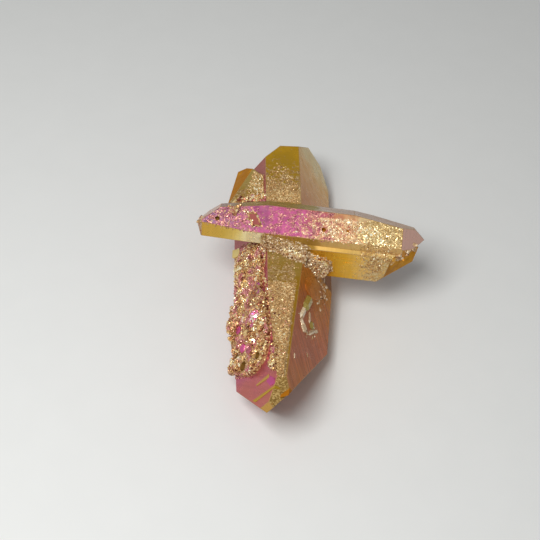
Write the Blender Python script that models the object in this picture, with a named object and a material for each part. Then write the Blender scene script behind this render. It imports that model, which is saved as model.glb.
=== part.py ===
"""Aura quartz cluster: four intergrown quartz crystals with their druse, as one closed solid.

The cluster lies on a prism face of its longest crystal. Units are metres, +Z is up, and the long
crystal points along Y. Every crystal is a six-sided blank that is cut by flat facets. A facet is
given the way a mineralogist reads it: how far round the crystal it looks, how much it leans towards
the pointed end, and how far from the crystal's centre it lies.
"""
import math
import random
from dataclasses import dataclass

import bmesh
import bpy
from mathutils import Matrix, Vector

MM = 0.001
RHOMB = 38.2                 # lean of quartz's end faces, in degrees from the prism faces
STEEP = 60.0                 # lean of the blunt broken ends
BLANK_RADIUS = 40.0 * MM     # the six-sided blank that every crystal is cut from
BLANK_LENGTH = 120.0 * MM
WELD = 0.001 * MM            # points closer than this are one point
PLATE_ROOT = 1.2 * MM        # how deep a plate, a grain or a lump is rooted in its crystal
GRAIN_ROOT = 0.8 * MM
LUMP_ROOT = 1.0 * MM
PIT_CLEARANCE = 1.0 * MM     # how far a pit's cutter stands out of the face
CROWDING = 0.42              # least gap between two grains, as a share of their summed widths
TRIES = 40                   # places tried for each grain of a field
TAPER = 0.92                 # how much a small crystal's shaft narrows towards its top
POINT = 1.2                  # length of a small crystal's point, in its radii


@dataclass(frozen=True)
class Crystal:
    """One crystal: its centre in mm, where its long axis points, its turn, and its facets."""

    name: str
    centre: tuple
    heading: float           # direction of the long axis in plan, degrees from +X
    pitch: float             # rise of the long axis above the floor, degrees
    roll: float              # turn about the long axis, degrees from up
    facets: tuple            # (around, lean, reach): degrees, degrees, mm

    def axes(self):
        """Return the long axis, the direction of around 0, and that of around 90."""
        heading, pitch, roll = (math.radians(v) for v in (self.heading, self.pitch, self.roll))
        flat = math.cos(pitch)
        along = Vector((flat * math.cos(heading), flat * math.sin(heading), math.sin(pitch)))
        side = along.cross(Vector((0.0, 0.0, 1.0))).normalized()
        up = side.cross(along)
        zero = math.cos(roll) * up + math.sin(roll) * side
        return along, zero, along.cross(zero)

    def normal(self, around, lean):
        """Return the outward direction of a facet."""
        along, zero, ninety = self.axes()
        turn, tip = math.radians(around), math.radians(lean)
        level = math.cos(turn) * zero + math.sin(turn) * ninety
        return math.cos(tip) * level + math.sin(tip) * along

    def spot(self, around, reach, at_along, at_across):
        """Return a point on a prism face, from its places along and across that face in mm."""
        along, zero, ninety = self.axes()
        turn = math.radians(around)
        across = math.cos(turn) * ninety - math.sin(turn) * zero
        offset = self.normal(around, 0.0) * reach + along * at_along + across * at_across
        return (Vector(self.centre) + offset) * MM


# ---------------------------------------------------------------- the four crystals, sizes in mm

MAIN = Crystal(
    "long_crystal", (3.0, 0.0, 7.0), 90.0, 0.0, 0.0,
    (
        (0, 0, 6.6), (60, 0, 5.2), (60, -7, 4.75), (120, -3.5, 7.6),
        (180, 0, 7.0), (240, 0, 7.65), (300, 0, 6.2), (300, -3.5, 6.45),
        (0, 45, 23.65), (60, RHOMB, 22.95), (300, RHOMB, 19.8),
        (120, RHOMB, 24.0), (180, RHOMB, 25.0), (240, RHOMB, 22.5),
        (0, -RHOMB, 17.0), (120, -RHOMB, 10.55), (225, -43.5, 16.0), (299, -48.5, 19.75),
    ),
)
CROSSING = Crystal(
    "crossing_crystal", (5.0, 6.0, 15.3), -6.3, 0.0, 25.0,
    (
        (0, 0, 1.62), (60, 0, 1.82), (60, -5, 2.56), (120, 0, 2.08),
        (180, 0, 3.6), (240, 0, 5.2), (240, 14, 7.6), (240, -12, 6.0),
        (300, 0, 3.7), (300, 8, 4.7), (300, -8, 4.47),
        (0, RHOMB, 10.5), (300, 42, 13.05), (60, RHOMB, 10.8), (100, 47.5, 12.75), (180, RHOMB, 12.6),
        (60, -STEEP, 13.9), (300, -RHOMB, 10.1), (180, -RHOMB, 10.4),
    ),
)
LOWER = Crystal(
    "lower_crystal", (10.0, 4.0, 12.0), -6.3, 0.0, 25.0,
    (
        (60, 0, 1.23), (0, 0, 2.85), (120, 0, 2.9), (180, 0, 3.6),
        (240, 0, 3.9), (300, 0, 3.0), (70, 45, 6.6), (100, 36, 6.15),
        (0, RHOMB, 11.2), (240, RHOMB, 10.5), (60, -RHOMB, 7.0), (180, -RHOMB, 7.0),
    ),
)
SHOULDER = Crystal(
    "shoulder_crystal", (-3.0, 17.0, 8.5), 90.0, 0.0, 0.0,
    (
        (-15, 0, 3.73), (-43.5, 14.9, 3.77), (-110, 6.3, 1.97), (180, 0, 4.0), (75, 0, 4.5),
        (75, 40, 4.7), (0, 70, 7.3), (180, RHOMB, 6.5), (0, -STEEP, 5.2), (240, -STEEP, 4.6),
    ),
)


@dataclass(frozen=True)
class Plate:
    """A low ledge or crust on a face: its outline in mm along and across the face, and its rise."""

    name: str
    host: Crystal
    around: float
    lean: float
    reach: float             # how far the bare face lies from the host's centre, mm
    rise: float
    outline: tuple


CRUST_FACE = 6.2             # how far the long crystal's left upper face lies from its centre

PLATES = (
    Plate("crust_upper", MAIN, 300, 0.0, CRUST_FACE, 0.55,
          ((9.6, -5.1), (7.0, 2.4), (2.6, 2.7), (-2.9, 2.5), (-5.4, -1.0), (-4.2, -5.1))),
    Plate("crust_lower", MAIN, 300, -3.5, 6.45, 0.65,
          ((-1.2, -5.2), (-3.4, -1.6), (-1.8, 2.2), (-4.6, 3.6), (-11.4, 4.1), (-14.6, 2.9), (-17.0, 1.4),
           (-16.3, -0.5), (-15.5, -2.5), (-13.9, -4.8), (-8.0, -5.4))),
    Plate("saddle_left", MAIN, 0, 0.0, 6.6, 0.5,
          ((7.0, -4.6), (4.3, -4.1), (3.6, -2.2), (2.6, -0.4), (1.8, 1.2), (1.6, 2.5), (7.0, 2.5))),
    Plate("saddle_right", LOWER, 60, 0.0, 1.23, 0.7,
          ((-0.7, -1.5), (-0.3, 0.6), (-1.0, 2.5), (-3.2, 2.6), (-4.6, 0.4), (-4.8, -1.7), (-2.6, -2.2))),
    Plate("front_step", LOWER, 60, 0.0, 1.23, 0.16,
          ((0.2, -1.2), (3.1, -1.7), (3.4, 1.9), (0.5, 2.2))),
    Plate("end_step", CROSSING, 0, 0.0, 1.62, 0.2,
          ((8.4, -2.0), (14.2, -1.7), (14.4, 0.9), (9.6, 1.1), (7.6, -0.2))),
)


@dataclass(frozen=True)
class Patch:
    """A field of small crystals on a face: its outline in mm along and across, count and sizes."""

    host: Crystal
    around: float
    reach: float
    outline: tuple
    count: int
    width: tuple             # smallest and largest width of a small crystal, mm
    tallness: tuple          # its height above the face, as a share of its width
    splay: float             # how far its axis strays from the face's normal, degrees
    seed: int


PATCHES = (
    Patch(MAIN, 300, CRUST_FACE + 0.35,
          ((9.4, -4.8), (6.8, 2.2), (-2.6, 2.4), (-3.0, -5.0)),
          66, (0.8, 1.5), (0.35, 0.8), 42.0, 11),
    Patch(MAIN, 300, CRUST_FACE + 0.7,
          ((-2.6, -5.1), (-3.4, 2.6), (-11.2, 3.8), (-16.2, 1.2), (-13.9, -4.4)),
          82, (0.9, 1.7), (0.35, 0.85), 42.0, 12),
    Patch(MAIN, 0, 7.0,
          ((6.0, -4.5), (6.0, 2.2), (1.9, 2.4), (2.1, 1.1), (2.9, -0.4), (3.9, -2.2), (4.6, -4.1)),
          34, (0.7, 1.3), (0.3, 0.7), 42.0, 13),
    Patch(LOWER, 60, 1.8, ((-0.8, -1.5), (-0.5, 0.6), (-1.2, 2.4), (-3.2, 2.4), (-4.4, 0.4), (-4.6, -1.7)),
          32, (0.8, 1.4), (0.3, 0.7), 42.0, 14),
    Patch(MAIN, 0, 6.0, ((13.6, -8.6), (15.8, -7.6), (15.4, -3.6), (12.4, -3.6), (12.2, -8.4)),
          14, (0.9, 1.6), (0.3, 0.7), 40.0, 15),
    Patch(CROSSING, 0, 1.75, ((8.4, -1.7), (14.0, -1.4), (14.0, 0.6), (9.8, 0.8), (7.9, -0.2)),
          24, (0.5, 1.0), (0.25, 0.55), 34.0, 16),
    Patch(CROSSING, 0, 1.6, ((-14.6, -0.6), (-12.4, -2.0), (-8.4, -2.2), (-5.4, 0.8), (-9.6, 1.2)),
          24, (0.6, 1.2), (0.2, 0.5), 35.0, 17),
    Patch(LOWER, 60, 1.2, ((4.6, -2.7), (8.6, -2.8), (7.8, -0.4), (5.0, -0.6)),
          16, (0.5, 1.0), (0.25, 0.5), 32.0, 18),
)

# Single larger growths: host, around, reach, along, across, width, height, seed of its tilt.
LUMPS = (
    (MAIN, 300, 5.6, -4.4, -4.9, 3.0, 1.6, 21),
    (MAIN, 300, 5.4, -7.0, -5.0, 2.6, 1.6, 22),
    (MAIN, 300, 5.6, -11.2, -4.6, 2.8, 1.5, 23),
    (MAIN, 300, 5.8, -13.0, -4.2, 2.2, 1.3, 24),
    (MAIN, 300, 6.2, -8.0, 1.2, 2.6, 1.3, 25),
    (MAIN, 300, 6.0, 4.2, -2.4, 2.0, 1.3, 26),
    (MAIN, 0, 5.2, 12.6, -8.4, 2.2, 1.6, 27),
    (MAIN, 0, 6.2, 4.6, -3.6, 1.9, 1.3, 28),
    (LOWER, 60, 1.4, -2.4, 0.6, 2.0, 1.2, 29),
    (CROSSING, 300, 2.9, -10.2, 0.6, 1.3, 0.7, 30),
    (CROSSING, 60, 1.0, 15.2, 1.2, 1.1, 1.1, 31),
    (LOWER, 0, 2.4, 8.6, 0.6, 1.1, 0.9, 32),
)

# Pits: host, around, reach, along, across, width, depth.
PITS = (
    (CROSSING, 0, 1.62, 3.0, -0.5, 0.75, 0.7),
    (CROSSING, 0, 1.62, 6.6, -0.7, 0.45, 0.4),
    (CROSSING, 0, 1.62, -7.6, -0.9, 1.5, 0.6),
    (MAIN, 300, CRUST_FACE + 1.4, -14.1, -1.9, 2.0, 1.9),
    (MAIN, 300, CRUST_FACE + 1.4, -13.8, 1.4, 1.5, 1.7),
)


def collection(name):
    """Make a collection under the scene and return it."""
    made = bpy.data.collections.new(name)
    bpy.context.scene.collection.children.link(made)
    return made


def add_object(name, mesh, home):
    """Put a mesh in a collection as an object."""
    made = bpy.data.objects.new(name, mesh)
    home.objects.link(made)
    return made


def as_helper(made):
    """Mark an object as one that shapes another and is not a piece itself."""
    made.hide_render = True
    made.display_type = 'WIRE'


def cut_by_plane(solid, point, outward):
    """Cut away what lies outside a plane and close the cut with a flat face."""
    everything = solid.verts[:] + solid.edges[:] + solid.faces[:]
    cut = bmesh.ops.bisect_plane(
        solid, geom=everything, dist=1e-7, plane_co=point, plane_no=outward, clear_outer=True)
    rim = [item for item in cut["geom_cut"] if isinstance(item, bmesh.types.BMEdge)]
    if rim:
        bmesh.ops.holes_fill(solid, edges=rim, sides=0)


def crystal_mesh(crystal):
    """Cut one crystal from its six-sided blank, facet by facet."""
    along = crystal.axes()[0]
    centre = Vector(crystal.centre) * MM
    solid = bmesh.new()
    bmesh.ops.create_cone(
        solid, cap_ends=True, segments=6, radius1=BLANK_RADIUS, radius2=BLANK_RADIUS, depth=BLANK_LENGTH)
    bmesh.ops.transform(solid, matrix=along.to_track_quat('Z', 'Y').to_matrix().to_4x4(), verts=solid.verts)
    bmesh.ops.translate(solid, vec=centre, verts=solid.verts)
    for around, lean, reach in crystal.facets:
        outward = crystal.normal(around, lean)
        cut_by_plane(solid, centre + outward * (reach * MM), outward)
    bmesh.ops.remove_doubles(solid, verts=solid.verts, dist=WELD)
    bmesh.ops.recalc_face_normals(solid, faces=solid.faces)
    mesh = bpy.data.meshes.new(crystal.name)
    solid.to_mesh(mesh)
    solid.free()
    return mesh


def plate_mesh(plate):
    """Draw a plate's outline on its face and raise it into a closed slab."""
    outward = plate.host.normal(plate.around, plate.lean)
    level = plate.host.normal(plate.around, 0.0)
    solid = bmesh.new()
    rim = []
    for along, across in plate.outline:
        place = plate.host.spot(plate.around, 0.0, along, across)
        inset = (place - Vector(plate.host.centre) * MM).dot(outward)
        depth = (plate.reach * MM - inset) / outward.dot(level)
        rim.append(solid.verts.new(place + level * (depth - PLATE_ROOT)))
    floor = bmesh.ops.contextual_create(solid, geom=rim)["faces"]
    raised = bmesh.ops.extrude_face_region(solid, geom=floor)["geom"]
    top = [item for item in raised if isinstance(item, bmesh.types.BMVert)]
    bmesh.ops.translate(solid, vec=level * (PLATE_ROOT + plate.rise * MM), verts=top)
    bmesh.ops.recalc_face_normals(solid, faces=solid.faces)
    mesh = bpy.data.meshes.new(plate.name)
    solid.to_mesh(mesh)
    solid.free()
    return mesh


def point_mesh(name, foot, direction, width, height, turn, root):
    """Model one small crystal: a six-sided shaft whose top is drawn to an off-centre point."""
    radius = width / 2
    tip = min(height, radius * POINT)
    shaft = root + height - tip
    solid = bmesh.new()
    bmesh.ops.create_cone(
        solid, cap_ends=True, segments=6, radius1=radius, radius2=radius * TAPER, depth=shaft)
    bmesh.ops.translate(solid, vec=(0.0, 0.0, shaft / 2 - root), verts=solid.verts)
    top = max(solid.faces, key=lambda face: face.calc_center_median().z)
    raised = bmesh.ops.extrude_discrete_faces(solid, faces=[top])["faces"][0]
    rim = list(raised.verts)
    bmesh.ops.translate(solid, vec=(radius * 0.15, 0.0, tip), verts=rim)
    bmesh.ops.pointmerge(solid, verts=rim, merge_co=rim[0].co.lerp(rim[3].co, 0.45))
    pose = direction.to_track_quat('Z', 'Y').to_matrix().to_4x4() @ Matrix.Rotation(turn, 4, 'Z')
    bmesh.ops.transform(solid, matrix=Matrix.Translation(foot) @ pose, verts=solid.verts)
    bmesh.ops.recalc_face_normals(solid, faces=solid.faces)
    mesh = bpy.data.meshes.new(name)
    solid.to_mesh(mesh)
    solid.free()
    return mesh


def inside(outline, along, across):
    """Say whether a place on a face lies inside an outline."""
    found = False
    for (a0, b0), (a1, b1) in zip(outline, outline[1:] + outline[:1]):
        if (b0 > across) != (b1 > across) and along < a0 + (a1 - a0) * (across - b0) / (b1 - b0):
            found = not found
    return found


def stray(direction, degrees, dice):
    """Tilt a direction by up to an angle, to a random side."""
    side = direction.orthogonal().normalized()
    other = direction.cross(side)
    bearing = dice.uniform(0.0, math.tau)
    amount = math.tan(math.radians(dice.uniform(0.0, degrees)))
    return (direction + amount * (math.cos(bearing) * side + math.sin(bearing) * other)).normalized()


def grow_patch(patch, number, home):
    """Fill a patch with small crystals that keep a little apart."""
    dice = random.Random(patch.seed)
    lows = [min(p[i] for p in patch.outline) for i in (0, 1)]
    highs = [max(p[i] for p in patch.outline) for i in (0, 1)]
    taken = []
    for _ in range(patch.count * TRIES):
        along, across = dice.uniform(lows[0], highs[0]), dice.uniform(lows[1], highs[1])
        width = dice.uniform(*patch.width)
        crowded = any(math.dist((along, across), (a, b)) < CROWDING * (width + w) for a, b, w in taken)
        if crowded or not inside(patch.outline, along, across):
            continue
        taken.append((along, across, width))
        foot = patch.host.spot(patch.around, patch.reach, along, across)
        direction = stray(patch.host.normal(patch.around, 0.0), patch.splay, dice)
        height = width * dice.uniform(*patch.tallness)
        name = f"druse_{number}_{len(taken)}"
        mesh = point_mesh(name, foot, direction, width * MM, height * MM, dice.uniform(0, 1), GRAIN_ROOT)
        as_helper(add_object(name, mesh, home))
        if len(taken) == patch.count:
            return


def grow_lump(lump, number, home):
    """Set one larger growth on its host."""
    host, around, reach, along, across, width, height, seed = lump
    dice = random.Random(seed)
    direction = stray(host.normal(around, 0.0), 30.0, dice)
    foot = host.spot(around, reach, along, across)
    name = f"lump_{number}"
    mesh = point_mesh(name, foot, direction, width * MM, height * MM, dice.uniform(0, 1), LUMP_ROOT)
    as_helper(add_object(name, mesh, home))


def pit_cutter(pit, number, home):
    """Make the six-sided cutter of one pit, which stands out of the face and narrows inwards."""
    host, around, reach, along, across, width, depth = pit
    depth *= MM
    foot_radius = 0.25 * width * MM
    mouth_radius = 2 * foot_radius * (1 + PIT_CLEARANCE / (2 * depth))
    inward = -host.normal(around, 0.0)
    solid = bmesh.new()
    bmesh.ops.create_cone(
        solid, cap_ends=True, segments=6, radius1=mouth_radius, radius2=foot_radius,
        depth=depth + PIT_CLEARANCE)
    bmesh.ops.translate(solid, vec=(0.0, 0.0, (depth - PIT_CLEARANCE) / 2), verts=solid.verts)
    turned = inward.to_track_quat('Z', 'Y').to_matrix().to_4x4()
    pose = Matrix.Translation(host.spot(around, reach, along, across)) @ turned
    bmesh.ops.transform(solid, matrix=pose, verts=solid.verts)
    mesh = bpy.data.meshes.new(f"pit_{number}")
    solid.to_mesh(mesh)
    solid.free()
    as_helper(add_object(f"pit_{number}", mesh, home))


def coated_quartz():
    """Make the plain material of quartz under its metal coating."""
    made = bpy.data.materials.new("coated_quartz")
    made.use_nodes = True
    shader = made.node_tree.nodes["Principled BSDF"]
    shader.inputs["Base Color"].default_value = (0.72, 0.42, 0.30, 1.0)
    shader.inputs["Roughness"].default_value = 0.22
    shader.inputs["Metallic"].default_value = 0.35
    return made


def join_all(body, home, operation):
    """Join or cut a body with every solid of a collection."""
    step = body.modifiers.new(f"{operation.lower()}_{home.name}", 'BOOLEAN')
    step.operation = operation
    step.operand_type = 'COLLECTION'
    step.collection = home
    step.solver = 'EXACT'


def main():
    """Build the cluster."""
    for old in list(bpy.data.objects):
        bpy.data.objects.remove(old, do_unlink=True)
    cluster = collection("aura_quartz_cluster")
    growths = collection("growths")
    hollows = collection("pits")
    for crystal in (CROSSING, LOWER, SHOULDER):
        as_helper(add_object(crystal.name, crystal_mesh(crystal), growths))
    for plate in PLATES:
        as_helper(add_object(plate.name, plate_mesh(plate), growths))
    for number, patch in enumerate(PATCHES, 1):
        grow_patch(patch, number, growths)
    for number, lump in enumerate(LUMPS, 1):
        grow_lump(lump, number, growths)
    for number, pit in enumerate(PITS, 1):
        pit_cutter(pit, number, hollows)
    body = add_object("quartz_cluster", crystal_mesh(MAIN), cluster)
    body.data.materials.append(coated_quartz())
    join_all(body, growths, 'UNION')
    join_all(body, hollows, 'DIFFERENCE')


main()
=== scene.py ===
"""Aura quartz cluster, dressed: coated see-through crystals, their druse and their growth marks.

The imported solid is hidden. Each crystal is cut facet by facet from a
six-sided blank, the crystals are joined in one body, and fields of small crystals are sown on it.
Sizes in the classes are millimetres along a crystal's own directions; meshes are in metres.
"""

import logging
import math
from collections.abc import Callable, Iterator
from dataclasses import dataclass
from enum import Enum

import bmesh
import bpy
import numpy as np
from mathutils import Matrix, Vector
from mathutils.bvhtree import BVHTree


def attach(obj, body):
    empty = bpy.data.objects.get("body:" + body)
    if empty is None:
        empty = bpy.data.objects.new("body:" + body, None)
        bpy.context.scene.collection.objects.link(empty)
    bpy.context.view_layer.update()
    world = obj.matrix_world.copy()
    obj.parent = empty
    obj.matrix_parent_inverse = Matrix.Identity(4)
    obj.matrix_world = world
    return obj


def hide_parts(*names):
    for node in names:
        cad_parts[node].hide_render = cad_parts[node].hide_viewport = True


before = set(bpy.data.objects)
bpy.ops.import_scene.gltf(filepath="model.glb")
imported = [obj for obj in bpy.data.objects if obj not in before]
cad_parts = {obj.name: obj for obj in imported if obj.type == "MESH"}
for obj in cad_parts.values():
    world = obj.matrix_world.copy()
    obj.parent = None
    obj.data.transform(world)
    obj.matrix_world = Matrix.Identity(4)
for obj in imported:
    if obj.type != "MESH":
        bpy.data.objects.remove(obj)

Colour = tuple[float, float, float]
Spot = tuple[float, float]
Outline = tuple[Spot, ...]
Stops = tuple[tuple[float, Colour], ...]            # colours and their places, which rise
Piece = bpy.types.Object
Coats = list[bpy.types.Material]                    # the films' materials, in the order of their slots
Socket = bpy.types.NodeSocket
Source = Socket | float | tuple[float, ...]         # what feeds a socket: an output or a value

MM = 0.001
NODE = "quartz_cluster"
BODY = "root"
FACE_MAP = "face_place"          # map that holds each point's place along and across its face, in mm
TONE = "tone"                    # attribute that varies the film from one small face to the next
RHOMB = 38.2                     # lean of quartz's end faces, in degrees
STEEP = 60.0                     # lean of the steeper ones
BLANK_RADIUS = 40.0              # radius of the blank that a crystal is cut from, in mm
BLANK_LENGTH = 120.0             # its length, in mm
CUT_NEAR = 1e-7                  # how near a cut a corner counts as on it, in metres
MERGE_NEAR = 1e-6                # how near each other two corners become one, in metres
ROOT = 1.2                       # how deep a ledge or growth is rooted in its crystal
FACING = 0.9                     # likeness of direction above which a face counts as looking that way
SLANT = 0.3                      # likeness to up or down above which a face counts as slanting
GENTLE = 0.999                   # likeness above which a face is the facet itself and not its worn edge
JOIN_TRIES = 8                   # how often a solid is joined before the script gives up
JOIN_SLACK = 1.02                # how much more than its own volume a joined solid may add
JOIN_SHIFT = Vector((0.7, -0.4, 0.5))     # the way a solid is shifted before another try
JOIN_STEP = 2e-6                 # how far it is shifted each time, in metres
NO_VOLUME = 1e-12                # a change in volume that counts as none, in cubic metres
QUARTZ_IOR = 1.544
NOISE_RANGE = (0.3, 0.7)         # where most of a noise's values lie
FEW_LAYERS = 3.0                 # finer layers of a plain noise
MORE_LAYERS = 4.0                # those of a busier one
LINE_SPEED = 0.06                # how fast the growth lines change along themselves, per mm
HILLOCK_SIZE = 0.9               # size of the hillocks between them, in mm
HILLOCK_SHARE = 0.5              # how high the hillocks are beside a line
PATCH_RANGE = (0.04, 0.96)       # what the patches of a velvet are spread over
PATCH_ROUGH = 0.62               # how ragged the patches are
SOFT_BORDER = (-0.15, 0.35)      # where a velvet's side border begins and is full, in mm
SHINE = Vector((-0.198, -0.524, 0.828))   # the way a facet looks that turns the lamp's light to the viewer

log = logging.getLogger("aura_quartz")


# ---------------- modelling helpers


def start_clean() -> None:
    """Leave edit mode and deselect everything."""
    if bpy.context.object and bpy.context.object.mode != 'OBJECT':
        bpy.ops.object.mode_set(mode='OBJECT')
    bpy.ops.object.select_all(action='DESELECT')


def take(piece: Piece) -> None:
    """Make a piece the only selected one, and the active one.

    Args:
        piece: the piece to work on.
    """
    start_clean()
    piece.select_set(True)
    bpy.context.view_layer.objects.active = piece


def place_in_mesh(piece: Piece) -> None:
    """Move a piece's place, turn and scale into its mesh."""
    take(piece)
    bpy.ops.object.transform_apply(location=True, rotation=True, scale=True)


def stand(piece: Piece, foot: Vector, direction: Vector) -> None:
    """Set a piece's origin on a point in metres and its Z axis along a direction, in its mesh."""
    piece.matrix_world = Matrix.Translation(foot) @ direction.to_track_quat('Z', 'Y').to_matrix().to_4x4()
    place_in_mesh(piece)


def edit_faces(piece: Piece, chosen: Callable[[bpy.types.MeshPolygon], bool]) -> None:
    """Enter edit mode with only some faces selected.

    Args:
        piece: the piece, which is the active one.
        chosen: says whether a face is selected.
    """
    bpy.ops.object.mode_set(mode='EDIT')
    bpy.ops.mesh.select_mode(type='FACE')
    bpy.ops.mesh.select_all(action='DESELECT')
    bpy.ops.object.mode_set(mode='OBJECT')
    for polygon in piece.data.polygons:
        polygon.select = chosen(polygon)
    bpy.ops.object.mode_set(mode='EDIT')


def faces_up(polygon: bpy.types.MeshPolygon) -> bool:
    """Say whether a face looks up."""
    return polygon.normal.z > FACING


def settled_faces(piece: Piece) -> list[int]:
    """Number an upright piece's faces in the same way each run.

    Extruding numbers the slanting faces that it makes differently from run to run. They are sorted by
    place and share out their own numbers. All the other faces keep theirs.

    Args:
        piece: the piece, which has extruded ends.

    Returns:
        The face that each number stands for.
    """
    polygons = piece.data.polygons
    slanting = [face.index for face in polygons if SLANT < abs(face.normal.z) < FACING]
    middles = {number: tuple(round(part, 7) for part in polygons[number].center) for number in slanting}
    order = list(range(len(polygons)))
    for number, face in zip(slanting, sorted(slanting, key=middles.__getitem__)):
        order[number] = face
    return order


def volume(piece: Piece) -> float:
    """Measure the volume that a piece's mesh encloses.

    Args:
        piece: a closed solid.

    Returns:
        Its volume in cubic metres, which is negative where the faces point inwards.
    """
    solid = bmesh.new()
    solid.from_mesh(piece.data)
    enclosed = solid.calc_volume(signed=True)
    solid.free()
    return enclosed


def join_solids(body: Piece, tool: Piece, operation: str) -> None:
    """Join a solid to a body, or cut it out of the body, and remove the tool.

    Faces that almost coincide can make the result collapse. The tool is then shifted a little.

    Args:
        body: the solid that is kept.
        tool: the solid that shapes it.
        operation: UNION or DIFFERENCE.
    """
    before = body.data.copy()
    start = volume(body)
    for attempt in range(JOIN_TRIES):
        take(body)
        bpy.ops.object.modifier_add(type='BOOLEAN')
        step = body.modifiers[-1]
        step.operation = operation
        step.object = tool
        step.solver = 'EXACT'
        bpy.ops.object.modifier_apply(modifier=step.name)
        change = volume(body) - start
        grew = change >= -NO_VOLUME
        if abs(change) <= JOIN_SLACK * volume(tool) and grew == (operation == 'UNION'):
            break
        log.info("%s needs another try", tool.name)
        body.data = before.copy()
        tool.data.transform(Matrix.Translation(JOIN_SHIFT * (JOIN_STEP * (attempt + 1))))
    else:
        raise RuntimeError(f"{tool.name} does not join the body")
    bpy.data.objects.remove(tool, do_unlink=True)


def in_outline(outline: np.ndarray, places: np.ndarray) -> np.ndarray:
    """Say which places lie inside a closed outline.

    Args:
        outline: its corners, one row each.
        places: the places to test, one row each.

    Returns:
        One truth value for each place.
    """
    inside = np.zeros(len(places), bool)
    for (a0, b0), (a1, b1) in zip(outline, np.roll(outline, -1, axis=0)):
        straddles = (b0 > places[:, 1]) != (b1 > places[:, 1])
        rise = b1 - b0 if b1 != b0 else 1.0
        inside ^= straddles & (places[:, 0] < a0 + (a1 - a0) * (places[:, 1] - b0) / rise)
    return inside


# ---------------- finishes


class Film(Enum):
    """The films on the smooth faces, in the order of the body's material slots."""

    OLIVE = 0
    TAN = 1
    AMBER = 2
    ROSE = 3
    TIP_ROSE = 4
    BRONZE = 5
    LEMON = 6
    AURORA = 7
    STRAW = 8
    ASH = 9
    MAUVE = 10
    HONEY = 11
    RUST = 12
    CRUST = 13
    MAGENTA = 14
    EDGE = 15
    GLINT = 16
    HOLLOW = 17
    MOUND = 18
    SHELF = 19


class Wiring:
    """A node tree that is being wired."""

    def __init__(self, tree: bpy.types.NodeTree) -> None:
        """Take over an empty tree."""
        self.tree = tree

    def add(self, kind: str, **values: object) -> bpy.types.Node:
        """Add a node.

        Args:
            kind: its type, without the word ShaderNode.
            values: its own settings, by name.

        Returns:
            The node.
        """
        made = self.tree.nodes.new("ShaderNode" + kind)
        for name, value in values.items():
            setattr(made, name, value)
        return made

    def feed(self, source: Source, node: bpy.types.Node, socket: str | int) -> None:
        """Link an output to a node's input, or set the input to a plain value.

        Args:
            source: the output or the value.
            node: the node that it feeds.
            socket: the input's name or number.
        """
        if isinstance(source, Socket):
            self.tree.links.new(source, node.inputs[socket])
        else:
            node.inputs[socket].default_value = source

    def step(self, kind: str, *terms: Source, **values: object) -> bpy.types.Node:
        """Add a node and feed its first inputs in order.

        Args:
            kind: its type, without the word ShaderNode.
            terms: what feeds the inputs.
            values: the node's own settings, by name.

        Returns:
            The node.
        """
        made = self.add(kind, **values)
        for index, term in enumerate(terms):
            self.feed(term, made, index)
        return made

    def calc(self, operation: str, *terms: Source) -> Socket:
        """Add a maths node and return its result."""
        return self.step("Math", *terms, operation=operation).outputs[0]

    def parts(self, place: Source) -> bpy.types.bpy_prop_collection:
        """Return the three parts of a place."""
        return self.step("SeparateXYZ", place).outputs

    def noise(self, place: Source, size: Source, detail: float, rough: float = 0.5) -> Socket:
        """Add a noise.

        Args:
            place: the coordinates that it varies with.
            size: how large its grains are about, in the place's own units.
            detail: how many finer layers it has.
            rough: how strong the finer layers are.

        Returns:
            Its value, from 0 to 1.
        """
        finer = self.calc('DIVIDE', 1.0, size) if isinstance(size, Socket) else 1.0 / size
        made = self.add("TexNoise")
        for socket, source in (("Vector", place), ("Scale", finer), ("Detail", detail),
                               ("Roughness", rough)):
            self.feed(source, made, socket)
        return made.outputs["Fac"]

    def spread(self, value: Source, low: Source, high: Source, start: Source,
               end: Source) -> Socket:
        """Add a node that maps the range from low to high to the one from start to end."""
        return self.step("MapRange", value, low, high, start, end).outputs[0]

    def vary(self, noise: Source, start: Source, end: Source) -> Socket:
        """Map the usual range of a noise to the one from start to end."""
        return self.spread(noise, *NOISE_RANGE, start, end)

    def ramp(self, value: Source, stops: Stops) -> Socket:
        """Add a colour ramp.

        Args:
            value: what picks the colour, from 0 to 1.
            stops: the colours and their places.

        Returns:
            The colour.
        """
        made = self.step("ValToRGB", value)
        band = made.color_ramp.elements
        while len(band) < len(stops):
            band.new(0.5)
        for element, (place, colour) in zip(band, stops):
            element.position = place
            element.color = (*colour, 1.0)
        return made.outputs["Color"]

    def blend(self, share: Source, first: Source, second: Source) -> Socket:
        """Add a node that mixes two colours.

        Args:
            share: how much of the second colour shows.
            first: the first colour.
            second: the second colour.

        Returns:
            The mixed colour.
        """
        made = self.add("Mix", data_type='RGBA')
        for socket, source in ((0, share), (6, first), (7, second)):
            self.feed(source, made, socket)
        return made.outputs[2]

    def bump(self, height: Source, scale: float, shader: bpy.types.Node) -> None:
        """Let a height turn the shader's normal.

        Args:
            height: the height, which changes over the surface.
            scale: how high one unit of it is, in metres.
            shader: the shader.
        """
        made = self.add("Bump")
        self.feed(scale, made, "Distance")
        self.feed(height, made, "Height")
        self.feed(made.outputs[0], shader, "Normal")


def own_millimetres(wiring: Wiring) -> Socket:
    """Give a material the piece's own coordinates.

    Args:
        wiring: the material's wiring.

    Returns:
        The coordinates in mm.
    """
    scale = wiring.step("Mapping", wiring.add("TexCoord").outputs["Object"])
    wiring.feed((1 / MM, 1 / MM, 1 / MM), scale, "Scale")
    return scale.outputs["Vector"]


GroupStart = tuple[bpy.types.NodeTree, Wiring, bpy.types.bpy_prop_collection, bpy.types.Node]


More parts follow.
